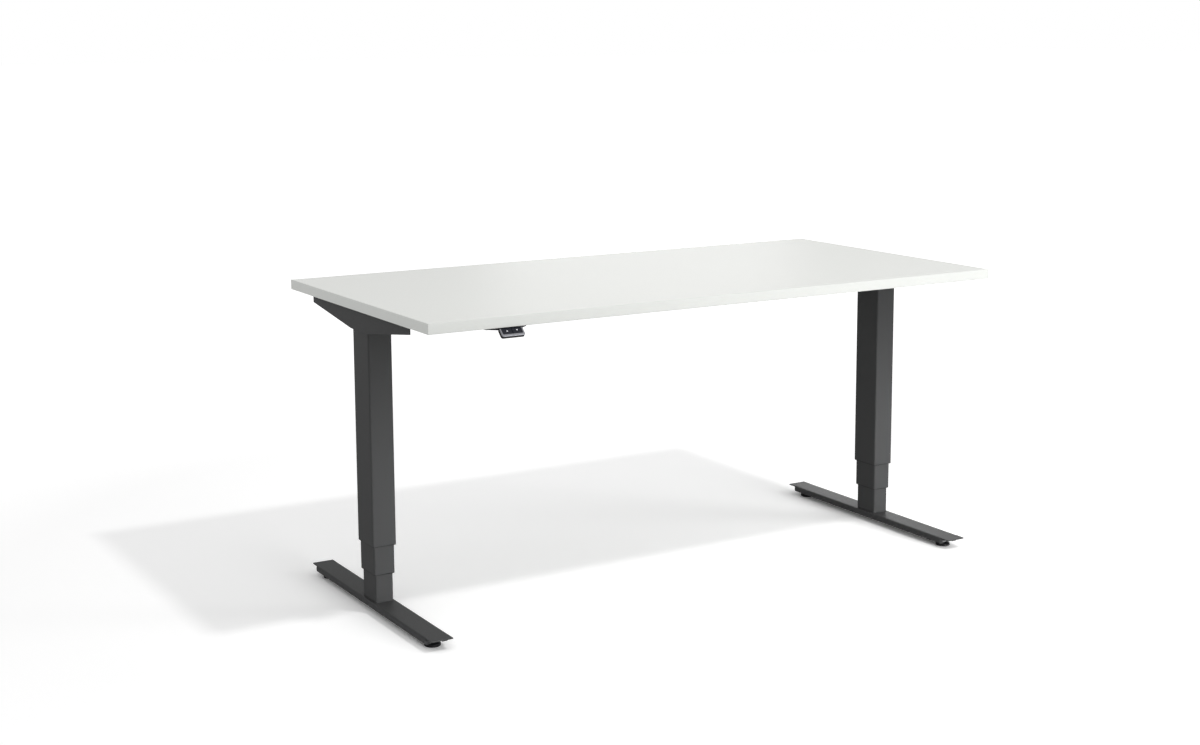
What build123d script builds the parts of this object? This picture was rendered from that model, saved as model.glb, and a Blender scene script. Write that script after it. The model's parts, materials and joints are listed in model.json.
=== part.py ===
from build123d import *
from math import cos, radians, sin
import os

os.makedirs("parts", exist_ok=True)

# Electric height adjustable desk. Millimetres. X runs along the desk, -Y is the user's side and
# the origin is on the floor under the middle of the top. Modelled a little above its lowest height.

# ---- Desktop ----
desk_width = 1600
desk_depth = 800
board_thickness = 25
band_thickness = 2
band_arris = 0.8

# ---- Lifting column, three tubes with the widest on top ----
outer_tube_x = 60
outer_tube_y = 90
outer_tube_length = 556
tube_wall = 2
tube_inner_radius = 2
column_inset = 44  # column centre to the end of the desktop
stage_stroke = 325  # travel of each of the two sliding joints
rest_extension = 65  # how far each joint is open in the modelled position
retracted_lip = 5  # strip of each inner tube that shows at the lowest height

# ---- Plastic slide pads and collars between the tubes ----
pad_thickness = 1.5
pad_clearance = 0.2
pad_height = 50
pad_side_margin = 9  # from the pad to the edge of the face it lies on
pad_stud_radius = 4
pad_below_end = 12
collar_height = 30
collar_lip = 1.2

# ---- Screw drive ----
drive_screw_radius = 7
hollow_screw_radius = 12
hollow_screw_bore = 8.5
key_bush_height = 16
screw_running_clearance = 0.1
press_clearance = 0.05
thrust_collar_radius = 11
thrust_collar_height = 6
journal_radius = 6
journal_length = 20
upper_nut_radius = 16
upper_nut_length = 18
nut_flange_width = 4
nut_flange_height = 4
screw_collar_height = 8
screw_collar_gap = 0.3
carrier_shoulder = 8
carrier_web = 4  # round the weight-saving pockets
carrier_pocket_length = 34
carrier_pocket_corner = 1.5
lower_nut_wall = 4.5
lower_nut_length = 25
stop_gap = 3
screw_end_margin = 15
end_plate_thickness = 8

# ---- Motor ----
motor_radius = 22
motor_top_gap = 1  # under the column head
motor_length = 108
motor_cap_radius = 17.5
motor_cap_length = 8
motor_neck_radius = 14
motor_neck_clearance = 1
motor_face_gap = 1
gearbox_bolt_spacing = 32
gearbox_bolt_grip = 9
gearbox_fit = 0.2

# ---- Frame under the desktop ----
sheet = 3
bend_radius = 2  # inside radius of every fold
bracket_length = 560
bracket_end_height = 18
bracket_middle_height = 50
bracket_flat = 96
bracket_flange = 50
bracket_corner = 8
bracket_screw_inset = 20  # from the flange's inner edge
bracket_screw_from_end = 30
bracket_screw_spacing = 100
head_length = 186
head_cheek_height = 40
head_screw_from_end = 24
head_screw_spacing = 60
clamp_screw_spacing = 56
clamp_screw_grip = 12
isolator_radius = 10
isolator_bore = 3.2
rail_width = 18
rail_height = 32
rail_wall = 2
sleeve_wall = 1.5
sleeve_clearance = 0.5
sleeve_length = 900
rail_overlap = 200
rail_bolt_from_end = 30
rail_bolt_spacing = 50
lock_from_end = 25
lock_spacing = 100

# ---- Fasteners ----
wood_screw_radius = 2.2
wood_screw_head_radius = 4.5
wood_screw_head_height = 2.6
wood_screw_grip = 14  # depth in the desktop
pilot_margin = 1  # drilled beyond the end of a screw
bolt_radius = 3
bolt_head_flats = 10
bolt_head_height = 4
nut_height = 5
bolt_end = 1  # beyond the nut
countersunk_head_radius = 6
hole_clearance = 0.4

# ---- Foot ----
foot_length = 700
foot_width = 60
foot_section_height = 16
foot_tongue = 30  # flat end of the top sheet beyond the folded walls
foot_tongue_width = 54
foot_lip = 16
glide_height = 12  # floor to the underside of the folded section
foot_bolt_spacing_x = 16
foot_bolt_spacing_y = 50
foot_bolt_grip = 6
nut_plate_length = 30

# ---- Levelling glide ----
glide_from_end = 52
glide_pad_radius = 19
glide_rim_height = 6
glide_foot_chamfer = 1
glide_pad_height = 9.5
glide_shoulder_radius = 11
glide_stud_radius = 4
glide_hex_flats = 17
glide_seat_gap = 0.3
glide_stud_top_gap = 0.5  # under the foot's top sheet

# ---- Control box ----
box_length = 280
box_depth = 100
box_height = 38
box_base_thickness = 3
box_corner = 6
box_bottom_radius = 3
box_ear = 18
box_screw_spacing = 70
box_centre_y = 190
inlet_width = 24
inlet_height = 16
socket_width = 14
socket_height = 10
socket_depth = 14
socket_corner = 1
socket_spacing = 40
inlet_corner = 3
inlet_from_socket = 56

# ---- Two-button handset ----
handset_from_end = 201
handset_width = 58
handset_tilt = 43
handset_face_length = 24.5
handset_body_thickness = 7
handset_overhang = 13  # lower edge of the face in front of the desktop's edge
handset_face_drop = 18  # lower edge of the face under the desktop
handset_corner = 4.5
handset_flange_thickness = 6
handset_flange_start = 6  # behind the desktop's edge
handset_shoulder_depth = 20  # the flange widens over this depth
handset_flange_depth = 42
handset_flange_width = 104
handset_flange_corner = 4
handset_screw_spacing = 84
handset_screw_from_back = 12
bezel_thickness = 1.6
bezel_side_rim = 4
bezel_lower_rim = 5.5
bezel_upper_rim = 1.6
bezel_chamfer = 1.2
pocket_depth = 5.4
circuit_thickness = 1.6
switch_radius = 3
switch_height = 1.1
button_gap = 0.4
button_thickness = 3.6
button_proud = 0.3  # above the bezel
button_corner = 1.5

# ---- Levels and places that follow from the sizes above ----
foot_top = glide_height + foot_section_height
stage_step = tube_wall + pad_clearance + pad_thickness
tube_outer_radius = tube_inner_radius + tube_wall
middle_tube_x = outer_tube_x - 2 * stage_step
middle_tube_y = outer_tube_y - 2 * stage_step
inner_tube_x = middle_tube_x - 2 * stage_step
inner_tube_y = middle_tube_y - 2 * stage_step

middle_bottom = foot_top + retracted_lip + rest_extension
outer_bottom = middle_bottom + retracted_lip + rest_extension
outer_top = outer_bottom + outer_tube_length
underside = outer_top + 2 * sheet
desk_height = underside + board_thickness

upper_nut_flange_radius = upper_nut_radius + nut_flange_width
lower_nut_radius = hollow_screw_radius + lower_nut_wall
lower_nut_flange_radius = lower_nut_radius + nut_flange_width

gearbox_height = 2 * (motor_radius + motor_top_gap)
drive_stack = gearbox_height + thrust_collar_height + stop_gap
middle_length = outer_tube_length + retracted_lip - drive_stack
middle_top = middle_bottom + middle_length
carrier_height = upper_nut_length + screw_collar_height + 2 * screw_collar_gap + carrier_shoulder
inner_length = middle_length + retracted_lip - carrier_height - nut_flange_height - stop_gap
inner_top = foot_top + inner_length

column_x = desk_width / 2 - column_inset
glide_y = foot_length / 2 - glide_from_end
cheek_y = outer_tube_y / 2 + sheet
rail_y = cheek_y + rail_width / 2
sleeve_width = rail_width + 2 * (sleeve_clearance + sleeve_wall)
sleeve_height = rail_height + 2 * (sleeve_clearance + sleeve_wall)
rail_middle_z = underside - sleeve_height / 2
gearbox_middle_z = outer_top - gearbox_height / 2
head_end_x = column_x + outer_tube_x / 2 - head_length
bracket_inner_x = column_x + outer_tube_x / 2 + sheet - bracket_flange
handset_x = -desk_width / 2 + handset_from_end

board_screw_hole = wood_screw_radius + press_clearance
sheet_screw_hole = wood_screw_radius + hole_clearance
bolt_hole = bolt_radius + hole_clearance / 2
thread_hole = bolt_radius + press_clearance

sides = {"left": -1, "right": 1}
ends = {"front": -1, "back": 1}


def level(side, height):
    """Horizontal plane at a height, centred on one column."""
    return Plane(origin=(side * column_x, 0, height))


def tube_profile(size_x, size_y):
    """Section of a steel column tube, drawn in the current sketch."""
    RectangleRounded(size_x, size_y, tube_outer_radius)
    RectangleRounded(size_x - 2 * tube_wall, size_y - 2 * tube_wall, tube_inner_radius, mode=Mode.SUBTRACT)


def face_planes(side, size_x, size_y, height):
    """Planes on the four outer faces of a column tube, each with the width of its face."""
    middle = side * column_x
    planes = []
    for sign in (-1, 1):
        front = Plane(origin=(middle, sign * size_y / 2, height), x_dir=(1, 0, 0), z_dir=(0, sign, 0))
        flank = Plane(origin=(middle + sign * size_x / 2, 0, height), x_dir=(0, 1, 0), z_dir=(sign, 0, 0))
        planes.append((front, size_x))
        planes.append((flank, size_y))
    return planes


def stud_hole_planes(side, size_x, size_y, top):
    """Planes for the holes that the studs of a tube's slide pads snap into."""
    height = top - pad_below_end - pad_height / 2
    return [plane for plane, _ in face_planes(side, size_x, size_y, height)]


def slide_pads(side, size_x, size_y, top):
    """One pad on each face of a tube's top end, with its stud in the tube's wall."""
    height = top - pad_below_end - pad_height / 2
    with BuildPart() as pads:
        for plane, face_width in face_planes(side, size_x, size_y, height):
            with BuildSketch(plane):
                Rectangle(face_width - 2 * pad_side_margin, pad_height)
            extrude(amount=pad_thickness)
            with BuildSketch(plane):
                Circle(pad_stud_radius)
            extrude(amount=-tube_wall)
    return pads.part


def end_collar(side, size_x, size_y, bottom):
    """Guide collar inside a tube's lower end, with a lip under the tube's edge."""
    bore_x = size_x - 2 * stage_step + 2 * pad_clearance
    bore_y = size_y - 2 * stage_step + 2 * pad_clearance
    fit_x = size_x - 2 * tube_wall - 2 * press_clearance
    fit_y = size_y - 2 * tube_wall - 2 * press_clearance
    with BuildPart() as collar:
        with BuildSketch(level(side, bottom)):
            RectangleRounded(fit_x, fit_y, tube_inner_radius)
        extrude(amount=collar_height)
        with BuildSketch(level(side, bottom)):
            RectangleRounded(size_x, size_y, tube_outer_radius)
        extrude(amount=-collar_lip)
        with BuildSketch(level(side, bottom - collar_lip)):
            RectangleRounded(bore_x, bore_y, tube_outer_radius + pad_clearance)
        extrude(amount=collar_height + collar_lip, mode=Mode.SUBTRACT)
    return collar.part


def bracket_screws(side):
    """Places of the wood screws through one side bracket's flange."""
    x = side * (bracket_inner_x + bracket_screw_inset)
    last = bracket_length / 2 - bracket_screw_from_end
    return [(x, y) for y in (-last, bracket_screw_spacing - last, last - bracket_screw_spacing, last)]


def head_screws(side):
    """Places of the wood screws through one column head and its isolating washers."""
    x = side * (head_end_x + head_screw_from_end)
    return [(x, end * head_screw_spacing / 2) for end in (-1, 1)]


def clamp_screws(side):
    """Places of the countersunk screws through bracket, column head and into the gearbox."""
    return [(side * column_x, end * clamp_screw_spacing / 2) for end in (-1, 1)]


def rail_bolts(side):
    """Places along X of the bolts that hold the rails to one column head."""
    first = head_end_x + rail_bolt_from_end
    return [side * first, side * (first + rail_bolt_spacing)]


def gearbox_bolts(side):
    """Places along X of the bolts through the cheeks into one gearbox."""
    return [side * column_x - gearbox_bolt_spacing / 2, side * column_x + gearbox_bolt_spacing / 2]


box_screw_x = (box_length + box_ear) / 2
box_screws = [(x, box_centre_y + y) for x in (-box_screw_x, box_screw_x)
              for y in (-box_screw_spacing / 2, box_screw_spacing / 2)]
handset_front = -desk_depth / 2 + handset_flange_start
handset_back = handset_front + handset_flange_depth
handset_screw_y = handset_back - handset_screw_from_back
handset_screws = [(handset_x + x, handset_screw_y)
                  for x in (-handset_screw_spacing / 2, handset_screw_spacing / 2)]

# Each wood screw is (x, y, thickness of what its head clamps to the desktop).
wood_screws = []
for side in sides.values():
    wood_screws += [(x, y, sheet) for x, y in bracket_screws(side)]
    wood_screws += [(x, y, 2 * sheet) for x, y in head_screws(side)]
wood_screws += [(x, y, box_base_thickness) for x, y in box_screws]
wood_screws += [(x, y, handset_flange_thickness) for x, y in handset_screws]

# ======== Desktop ========
with BuildPart() as desktop_board:
    with BuildSketch(Plane.XY.offset(underside)):
        Rectangle(desk_width - 2 * band_thickness, desk_depth - 2 * band_thickness)
    extrude(amount=board_thickness)
    with BuildSketch(Plane.XY.offset(underside)):
        with Locations([(x, y) for x, y, _ in wood_screws]):
            Circle(board_screw_hole)
    extrude(amount=wood_screw_grip + pilot_margin, mode=Mode.SUBTRACT)
desktop_board.part.label = "desktop_board"
export_step(desktop_board.part, "parts/desktop_board.step")

for end_name, end in ends.items():
    with BuildPart() as long_band:
        with BuildSketch(Plane.XY.offset(underside)):
            with Locations((0, end * (desk_depth - band_thickness) / 2)):
                Rectangle(desk_width, band_thickness)
        extrude(amount=board_thickness)
        outer_edges = long_band.edges().filter_by(Axis.X).group_by(Axis.Y)[0 if end < 0 else -1]
        chamfer(outer_edges, band_arris)
    long_band.part.label = f"{end_name}_edge_band"
    export_step(long_band.part, f"parts/{end_name}_edge_band.step")

for side_name, side in sides.items():
    with BuildPart() as short_band:
        with BuildSketch(Plane.XY.offset(underside)):
            with Locations((side * (desk_width - band_thickness) / 2, 0)):
                Rectangle(band_thickness, desk_depth - 2 * band_thickness)
        extrude(amount=board_thickness)
        outer_edges = short_band.edges().filter_by(Axis.Y).group_by(Axis.X)[0 if side < 0 else -1]
        chamfer(outer_edges, band_arris)
    short_band.part.label = f"{side_name}_edge_band"
    export_step(short_band.part, f"parts/{side_name}_edge_band.step")

with BuildPart() as desktop_screws:
    for x, y, clamped in wood_screws:
        seat = underside - clamped
        with BuildSketch(Plane(origin=(x, y, seat))):
            Circle(wood_screw_head_radius)
        extrude(amount=-wood_screw_head_height)
        with BuildSketch(Plane(origin=(x, y, seat))):
            Circle(wood_screw_radius)
        extrude(amount=clamped + wood_screw_grip)
desktop_screws.part.label = "desktop_screws"
export_step(desktop_screws.part, "parts/desktop_screws.step")

# ======== Frame under the desktop ========
for side_name, side in sides.items():
    outer_x = column_x + outer_tube_x / 2 + sheet
    with BuildPart() as side_bracket:
        web_plane = Plane(origin=(side * outer_x, 0, underside), x_dir=(0, 1, 0), z_dir=(1, 0, 0))
        with BuildSketch(web_plane) as web:
            with BuildLine():
                Polyline(
                    (-bracket_length / 2, 0),
                    (-bracket_length / 2, -bracket_end_height),
                    (-bracket_flat / 2, -bracket_middle_height),
                    (bracket_flat / 2, -bracket_middle_height),
                    (bracket_length / 2, -bracket_end_height),
                    (bracket_length / 2, 0),
                    close=True,
                )
            make_face()
            fillet(web.vertices().group_by(Axis.Y)[0], bracket_corner)
        extrude(amount=-side * sheet)
        flange_middle = outer_x - bracket_flange / 2
        with BuildSketch(Plane.XY.offset(underside)):
            with Locations((side * flange_middle, 0)):
                Rectangle(bracket_flange, bracket_length)
            with Locations(bracket_screws(side)):
                Circle(sheet_screw_hole, mode=Mode.SUBTRACT)
        extrude(amount=-sheet)
        fold = side_bracket.edges().filter_by(Axis.Y).group_by(Axis.Z)[-1]
        fillet(fold.sort_by(Axis.X)[0 if side < 0 else -1], bend_radius)
        with Locations([(x, y, underside) for x, y in clamp_screws(side)]):
            CounterSinkHole(bolt_hole, countersunk_head_radius)
    side_bracket.part.label = f"{side_name}_side_bracket"
    export_step(side_bracket.part, f"parts/{side_name}_side_bracket.step")

    with BuildPart() as column_head:
        head_plane = Plane(
            origin=(side * (head_end_x + head_length), 0, underside - sheet),
            x_dir=(0, 1, 0),
            z_dir=(1, 0, 0))
        with BuildSketch(head_plane) as channel:
            with Locations((0, -head_cheek_height / 2)):
                Rectangle(2 * cheek_y, head_cheek_height)
            fillet(channel.vertices().group_by(Axis.Y)[-1], bend_radius)
            with Locations((0, -sheet - head_cheek_height / 2)):
                Rectangle(outer_tube_y, head_cheek_height, mode=Mode.SUBTRACT)
        extrude(amount=-side * head_length)
        with BuildSketch(Plane.XY.offset(underside - sheet)):
            with Locations(head_screws(side)):
                Circle(sheet_screw_hole)
            with Locations(clamp_screws(side)):
                Circle(bolt_hole)
        extrude(amount=-sheet, mode=Mode.SUBTRACT)
        with BuildSketch(Plane.XZ.offset(-cheek_y)):
            with Locations([(x, rail_middle_z) for x in rail_bolts(side)]):
                Circle(bolt_hole)
            with Locations([(x, gearbox_middle_z) for x in gearbox_bolts(side)]):
                Circle(bolt_hole)
        extrude(amount=2 * cheek_y, mode=Mode.SUBTRACT)
    column_head.part.label = f"{side_name}_column_head"
    export_step(column_head.part, f"parts/{side_name}_column_head.step")

    with BuildPart() as beam_rails:
        rail_start = column_x - outer_tube_x / 2
        rail_end = sleeve_length / 2 - rail_overlap
        rail_plane = Plane(origin=(side * rail_start, 0, rail_middle_z), x_dir=(0, 1, 0), z_dir=(1, 0, 0))
        with BuildSketch(rail_plane):
            with Locations((-rail_y, 0), (rail_y, 0)):
                Rectangle(rail_width, rail_height)
                Rectangle(rail_width - 2 * rail_wall, rail_height - 2 * rail_wall, mode=Mode.SUBTRACT)
        extrude(amount=-side * (rail_start - rail_end))
        with BuildSketch(Plane.XZ.offset(-cheek_y - rail_width)):
            with Locations([(x, rail_middle_z) for x in rail_bolts(side)]):
                Circle(bolt_hole)
        extrude(amount=2 * (cheek_y + rail_width), mode=Mode.SUBTRACT)
    beam_rails.part.label = f"{side_name}_beam_rails"
    export_step(beam_rails.part, f"parts/{side_name}_beam_rails.step")

lock_x = [side * (sleeve_length / 2 - lock_from_end - step) for side in (-1, 1) for step in (0, lock_spacing)]
lock_places = [(x, y) for x in lock_x for y in (-rail_y, rail_y)]
with BuildPart() as centre_beam_sleeves:
    with BuildSketch(Plane(origin=(-sleeve_length / 2, 0, rail_middle_z), x_dir=(0, 1, 0), z_dir=(1, 0, 0))):
        with Locations((-rail_y, 0), (rail_y, 0)):
            Rectangle(sleeve_width, sleeve_height)
            Rectangle(sleeve_width - 2 * sleeve_wall, sleeve_height - 2 * sleeve_wall, mode=Mode.SUBTRACT)
    extrude(amount=sleeve_length)
    with BuildSketch(Plane.XY.offset(underside - sleeve_height)):
        with Locations(lock_places):
            Circle(thread_hole)
    extrude(amount=sleeve_wall, mode=Mode.SUBTRACT)
centre_beam_sleeves.part.label = "centre_beam_sleeves"
export_step(centre_beam_sleeves.part, "parts/centre_beam_sleeves.step")

with BuildPart() as beam_lock_screws:
    for x, y in lock_places:
        with BuildSketch(Plane(origin=(x, y, underside - sleeve_height))):
            RegularPolygon(bolt_head_flats / 2, 6, major_radius=False)
        extrude(amount=-bolt_head_height)
        with BuildSketch(Plane(origin=(x, y, underside - sleeve_height))):
            Circle(bolt_radius)
        extrude(amount=sleeve_wall + sleeve_clearance)
beam_lock_screws.part.label = "beam_lock_screws"
export_step(beam_lock_screws.part, "parts/beam_lock_screws.step")

with BuildPart() as column_head_bolts:
    for side in sides.values():
        for end in ends.values():
            for x in rail_bolts(side):
                outside = Plane(
                    origin=(x, end * (cheek_y + rail_width), rail_middle_z),
                    x_dir=(1, 0, 0),
                    z_dir=(0, end, 0))
                with BuildSketch(outside):
                    RegularPolygon(bolt_head_flats / 2, 6, major_radius=False)
                extrude(amount=bolt_head_height)
                with BuildSketch(outside):
                    Circle(bolt_radius)
                extrude(amount=-(rail_width + sheet + nut_height + bolt_end))
                inside = outside.offset(-(rail_width + sheet))
                with BuildSketch(inside):
                    RegularPolygon(bolt_head_flats / 2, 6, major_radius=False)
                    Circle(thread_hole, mode=Mode.SUBTRACT)
                extrude(amount=-nut_height)
            for x in gearbox_bolts(side):
                cheek = Plane(origin=(x, end * cheek_y, gearbox_middle_z), x_dir=(1, 0, 0), z_dir=(0, end, 0))
                with BuildSketch(cheek):
                    RegularPolygon(bolt_head_flats / 2, 6, major_radius=False)
                extrude(amount=bolt_head_height)
                with BuildSketch(cheek):
                    Circle(bolt_radius)
                extrude(amount=-(sheet + tube_wall + gearbox_bolt_grip))
column_head_bolts.part.label = "column_head_bolts"
export_step(column_head_bolts.part, "parts/column_head_bolts.step")

with BuildPart() as clamping_screws:
    for x, y in clamp_screws(-1) + clamp_screws(1):
        with BuildSketch(Plane(origin=(x, y, underside), x_dir=(1, 0, 0), z_dir=(0, -1, 0))):
            with BuildLine():
                Polyline(
                    (0, 0),
                    (countersunk_head_radius - hole_clearance, 0),
                    (bolt_radius, hole_clearance + bolt_radius - countersunk_head_radius),
                    (bolt_radius, -2 * sheet - clamp_screw_grip),
                    (0, -2 * sheet - clamp_screw_grip),
                    close=True,
                )
            make_face()
        revolve(axis=Axis((x, y, 0), (0, 0, 1)))
clamping_screws.part.label = "clamping_screws"
export_step(clamping_screws.part, "parts/clamping_screws.step")

with BuildPart() as isolating_washers:
    with BuildSketch(Plane.XY.offset(underside)):
        with Locations(head_screws(-1) + head_screws(1)):
            Circle(isolator_radius)
            Circle(isolator_bore, mode=Mode.SUBTRACT)
    extrude(amount=-sheet)
isolating_washers.part.label = "isolating_washers"
export_step(isolating_washers.part, "parts/isolating_washers.step")

# ======== Lifting columns ========
for side_name, side in sides.items():
    # Outer tube: hangs from the column head, notched at the top for the motor's neck.
    with BuildPart() as outer_tube:
        with BuildSketch(level(side, outer_bottom)):
            tube_profile(outer_tube_x, outer_tube_y)
        extrude(amount=outer_tube_length)
        notch = Plane(origin=(side * column_x, 0, gearbox_middle_z), x_dir=(0, 1, 0), z_dir=(1, 0, 0))
        with BuildSketch(notch):
            Circle(motor_neck_radius + motor_neck_clearance)
            with Locations((0, gearbox_height / 2)):
                Rectangle(2 * (motor_neck_radius + motor_neck_clearance), gearbox_height)
        extrude(amount=-side * outer_tube_x, mode=Mode.SUBTRACT)
        with BuildSketch(Plane.XZ.offset(-cheek_y)):
            with Locations([(x, gearbox_middle_z) for x in gearbox_bolts(side)]):
                Circle(bolt_hole)
        extrude(amount=2 * cheek_y, mode=Mode.SUBTRACT)
    outer_tube.part.label = f"{side_name}_outer_tube"
    export_step(outer_tube.part, f"parts/{side_name}_outer_tube.step")

    outer_collar = end_collar(side, outer_tube_x, outer_tube_y, outer_bottom)
    outer_collar.label = f"{side_name}_outer_collar"
    export_step(outer_collar, f"parts/{side_name}_outer_collar.step")

    # Gearbox: fills the top of the outer tube, worm drive closed inside.
    with BuildPart() as gearbox:
        with BuildSketch(level(side, outer_top)):
            RectangleRounded(
                outer_tube_x - 2 * (tube_wall + gearbox_fit),
                outer_tube_y - 2 * (tube_wall + gearbox_fit),
                tube_inner_radius)
        extrude(amount=-gearbox_height)
        motor_axis = Plane(origin=(side * column_x, 0, gearbox_middle_z), x_dir=(0, 1, 0), z_dir=(1, 0, 0))
        with BuildSketch(motor_axis):
            Circle(motor_neck_radius)
        extrude(amount=-side * (outer_tube_x / 2 + motor_face_gap))
        with BuildSketch(level(side, outer_top - gearbox_height)):
            Circle(journal_radius + screw_running_clearance)
        extrude(amount=journal_length + pilot_margin, mode=Mode.SUBTRACT)
        with BuildSketch(level(side, outer_top)):
            with Locations([(0, y) for _, y in clamp_screws(side)]):
                Circle(thread_hole)
        extrude(amount=-(clamp_screw_grip + pilot_margin), mode=Mode.SUBTRACT)
        for end in ends.values():
            flank = Plane(
                origin=(0, end * outer_tube_y / 2, gearbox_middle_z), x_dir=(1, 0, 0), z_dir=(0, end, 0))
            with BuildSketch(flank):
                with Locations([(x, 0) for x in gearbox_bolts(side)]):
                    Circle(thread_hole)
            extrude(amount=-(tube_wall + gearbox_bolt_grip + pilot_margin), mode=Mode.SUBTRACT)
    gearbox.part.label = f"{side_name}_gearbox"
    export_step(gearbox.part, f"parts/{side_name}_gearbox.step")

    with BuildPart() as motor:
        motor_start = motor_axis.offset(-side * (outer_tube_x / 2 + motor_face_gap))
        with BuildSketch(motor_start):
            Circle(motor_radius)
        extrude(amount=-side * motor_length)
        with BuildSketch(motor_start.offset(-side * motor_length)):
            Circle(motor_cap_radius)
        extrude(amount=-side * motor_cap_length)
    motor.part.label = f"{side_name}_motor"
    export_step(motor.part, f"parts/{side_name}_motor.step")

    # Drive screw: turned by the gearbox, carries the thread of the upper nut.
    screw_start = outer_top - gearbox_height
    drive_screw_length = stage_stroke + stop_gap + upper_nut_length + screw_end_margin
    with BuildPart() as drive_screw:
        with BuildSketch(level(side, screw_start)):
            Circle(journal_radius)
        extrude(amount=journal_length)
        with BuildSketch(level(side, screw_start)):
            Circle(thrust_collar_radius)
        extrude(amount=-thrust_collar_height)
        with BuildSketch(level(side, screw_start - thrust_collar_height)):
            Circle(drive_screw_radius)
        extrude(amount=-drive_screw_length)
    drive_screw.part.label = f"{side_name}_drive_screw"
    export_step(drive_screw.part, f"parts/{side_name}_drive_screw.step")

    # Middle tube with the carrier for the upper nut and the hollow screw pressed into its top.
    with BuildPart() as middle_tube:
        with BuildSketch(level(side, middle_bottom)):
            tube_profile(middle_tube_x, middle_tube_y)
        extrude(amount=middle_length)
        for plane in stud_hole_planes(side, middle_tube_x, middle_tube_y, middle_top):
            with BuildSketch(plane):
                Circle(pad_stud_radius + press_clearance)
            extrude(amount=-2 * tube_wall, mode=Mode.SUBTRACT)
    middle_tube.part.label = f"{side_name}_middle_tube"
    export_step(middle_tube.part, f"parts/{side_name}_middle_tube.step")

    middle_collar = end_collar(side, middle_tube_x, middle_tube_y, middle_bottom)
    middle_collar.label = f"{side_name}_middle_collar"
    export_step(middle_collar, f"parts/{side_name}_middle_collar.step")

    middle_pads = slide_pads(side, middle_tube_x, middle_tube_y, middle_top)
    middle_pads.label = f"{side_name}_middle_pads"
    export_step(middle_pads, f"parts/{side_name}_middle_pads.step")

    screw_collar_top = middle_top - upper_nut_length - screw_collar_gap
    with BuildPart() as screw_carrier:
        with BuildSketch(level(side, middle_top)):
            RectangleRounded(
                middle_tube_x - 2 * tube_wall - 2 * press_clearance,
                middle_tube_y - 2 * tube_wall - 2 * press_clearance,
                tube_inner_radius)
        extrude(amount=-carrier_height)
        with BuildSketch(level(side, middle_top)):
            Circle(upper_nut_radius + press_clearance)
        extrude(amount=-(carrier_height - carrier_shoulder), mode=Mode.SUBTRACT)
        with BuildSketch(level(side, middle_top)):
            Circle(upper_nut_flange_radius + press_clearance)
        extrude(amount=-nut_flange_height, mode=Mode.SUBTRACT)
        with BuildSketch(level(side, middle_top - carrier_height)):
            Circle(hollow_screw_radius + screw_running_clearance)
        extrude(amount=carrier_shoulder, mode=Mode.SUBTRACT)
        # Weight-saving pockets either side of the bore, open at the bottom.
        half_depth = middle_tube_y / 2 - tube_wall
        pocket_width = half_depth - upper_nut_flange_radius - 2 * carrier_web
        pocket_y = (half_depth + upper_nut_flange_radius) / 2
        with BuildSketch(level(side, middle_top - carrier_height)):
            with Locations((0, -pocket_y), (0, pocket_y)):
                RectangleRounded(carrier_pocket_length, pocket_width, carrier_pocket_corner)
        extrude(amount=carrier_height - carrier_web, mode=Mode.SUBTRACT)
    screw_carrier.part.label = f"{side_name}_screw_carrier"
    export_step(screw_carrier.part, f"parts/{side_name}_screw_carrier.step")

    with BuildPart() as upper_nut:
        with BuildSketch(level(side, middle_top)):
            Circle(upper_nut_flange_radius)
        extrude(amount=-nut_flange_height)
        with BuildSketch(level(side, middle_top)):
            Circle(upper_nut_radius)
        extrude(amount=-upper_nut_length)
        with BuildSketch(level(side, middle_top)):
            Circle(drive_screw_radius + screw_running_clearance)
        extrude(amount=-upper_nut_length, mode=Mode.SUBTRACT)
    upper_nut.part.label = f"{side_name}_upper_nut"
    export_step(upper_nut.part, f"parts/{side_name}_upper_nut.step")

    # Hollow screw: keyed to the drive screw, held axially in the carrier, drives the lower nut.
    hollow_screw_bottom = inner_top - lower_nut_length - screw_end_margin - (stage_stroke - rest_extension)
    with BuildPart() as hollow_screw:
        with BuildSketch(level(side, screw_collar_top)):
            Circle(upper_nut_radius - screw_running_clearance)
        extrude(amount=-screw_collar_height)
        with BuildSketch(level(side, screw_collar_top)):
            Circle(hollow_screw_radius)
        extrude(amount=hollow_screw_bottom - screw_collar_top)
        with BuildSketch(level(side, screw_collar_top)):
            Circle(drive_screw_radius + screw_running_clearance)
        extrude(amount=-key_bush_height, mode=Mode.SUBTRACT)
        with BuildSketch(level(side, screw_collar_top - key_bush_height)):
            Circle(hollow_screw_bore)
        extrude(amount=hollow_screw_bottom - screw_collar_top, mode=Mode.SUBTRACT)
    hollow_screw.part.label = f"{side_name}_hollow_screw"
    export_step(hollow_screw.part, f"parts/{side_name}_hollow_screw.step")

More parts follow.
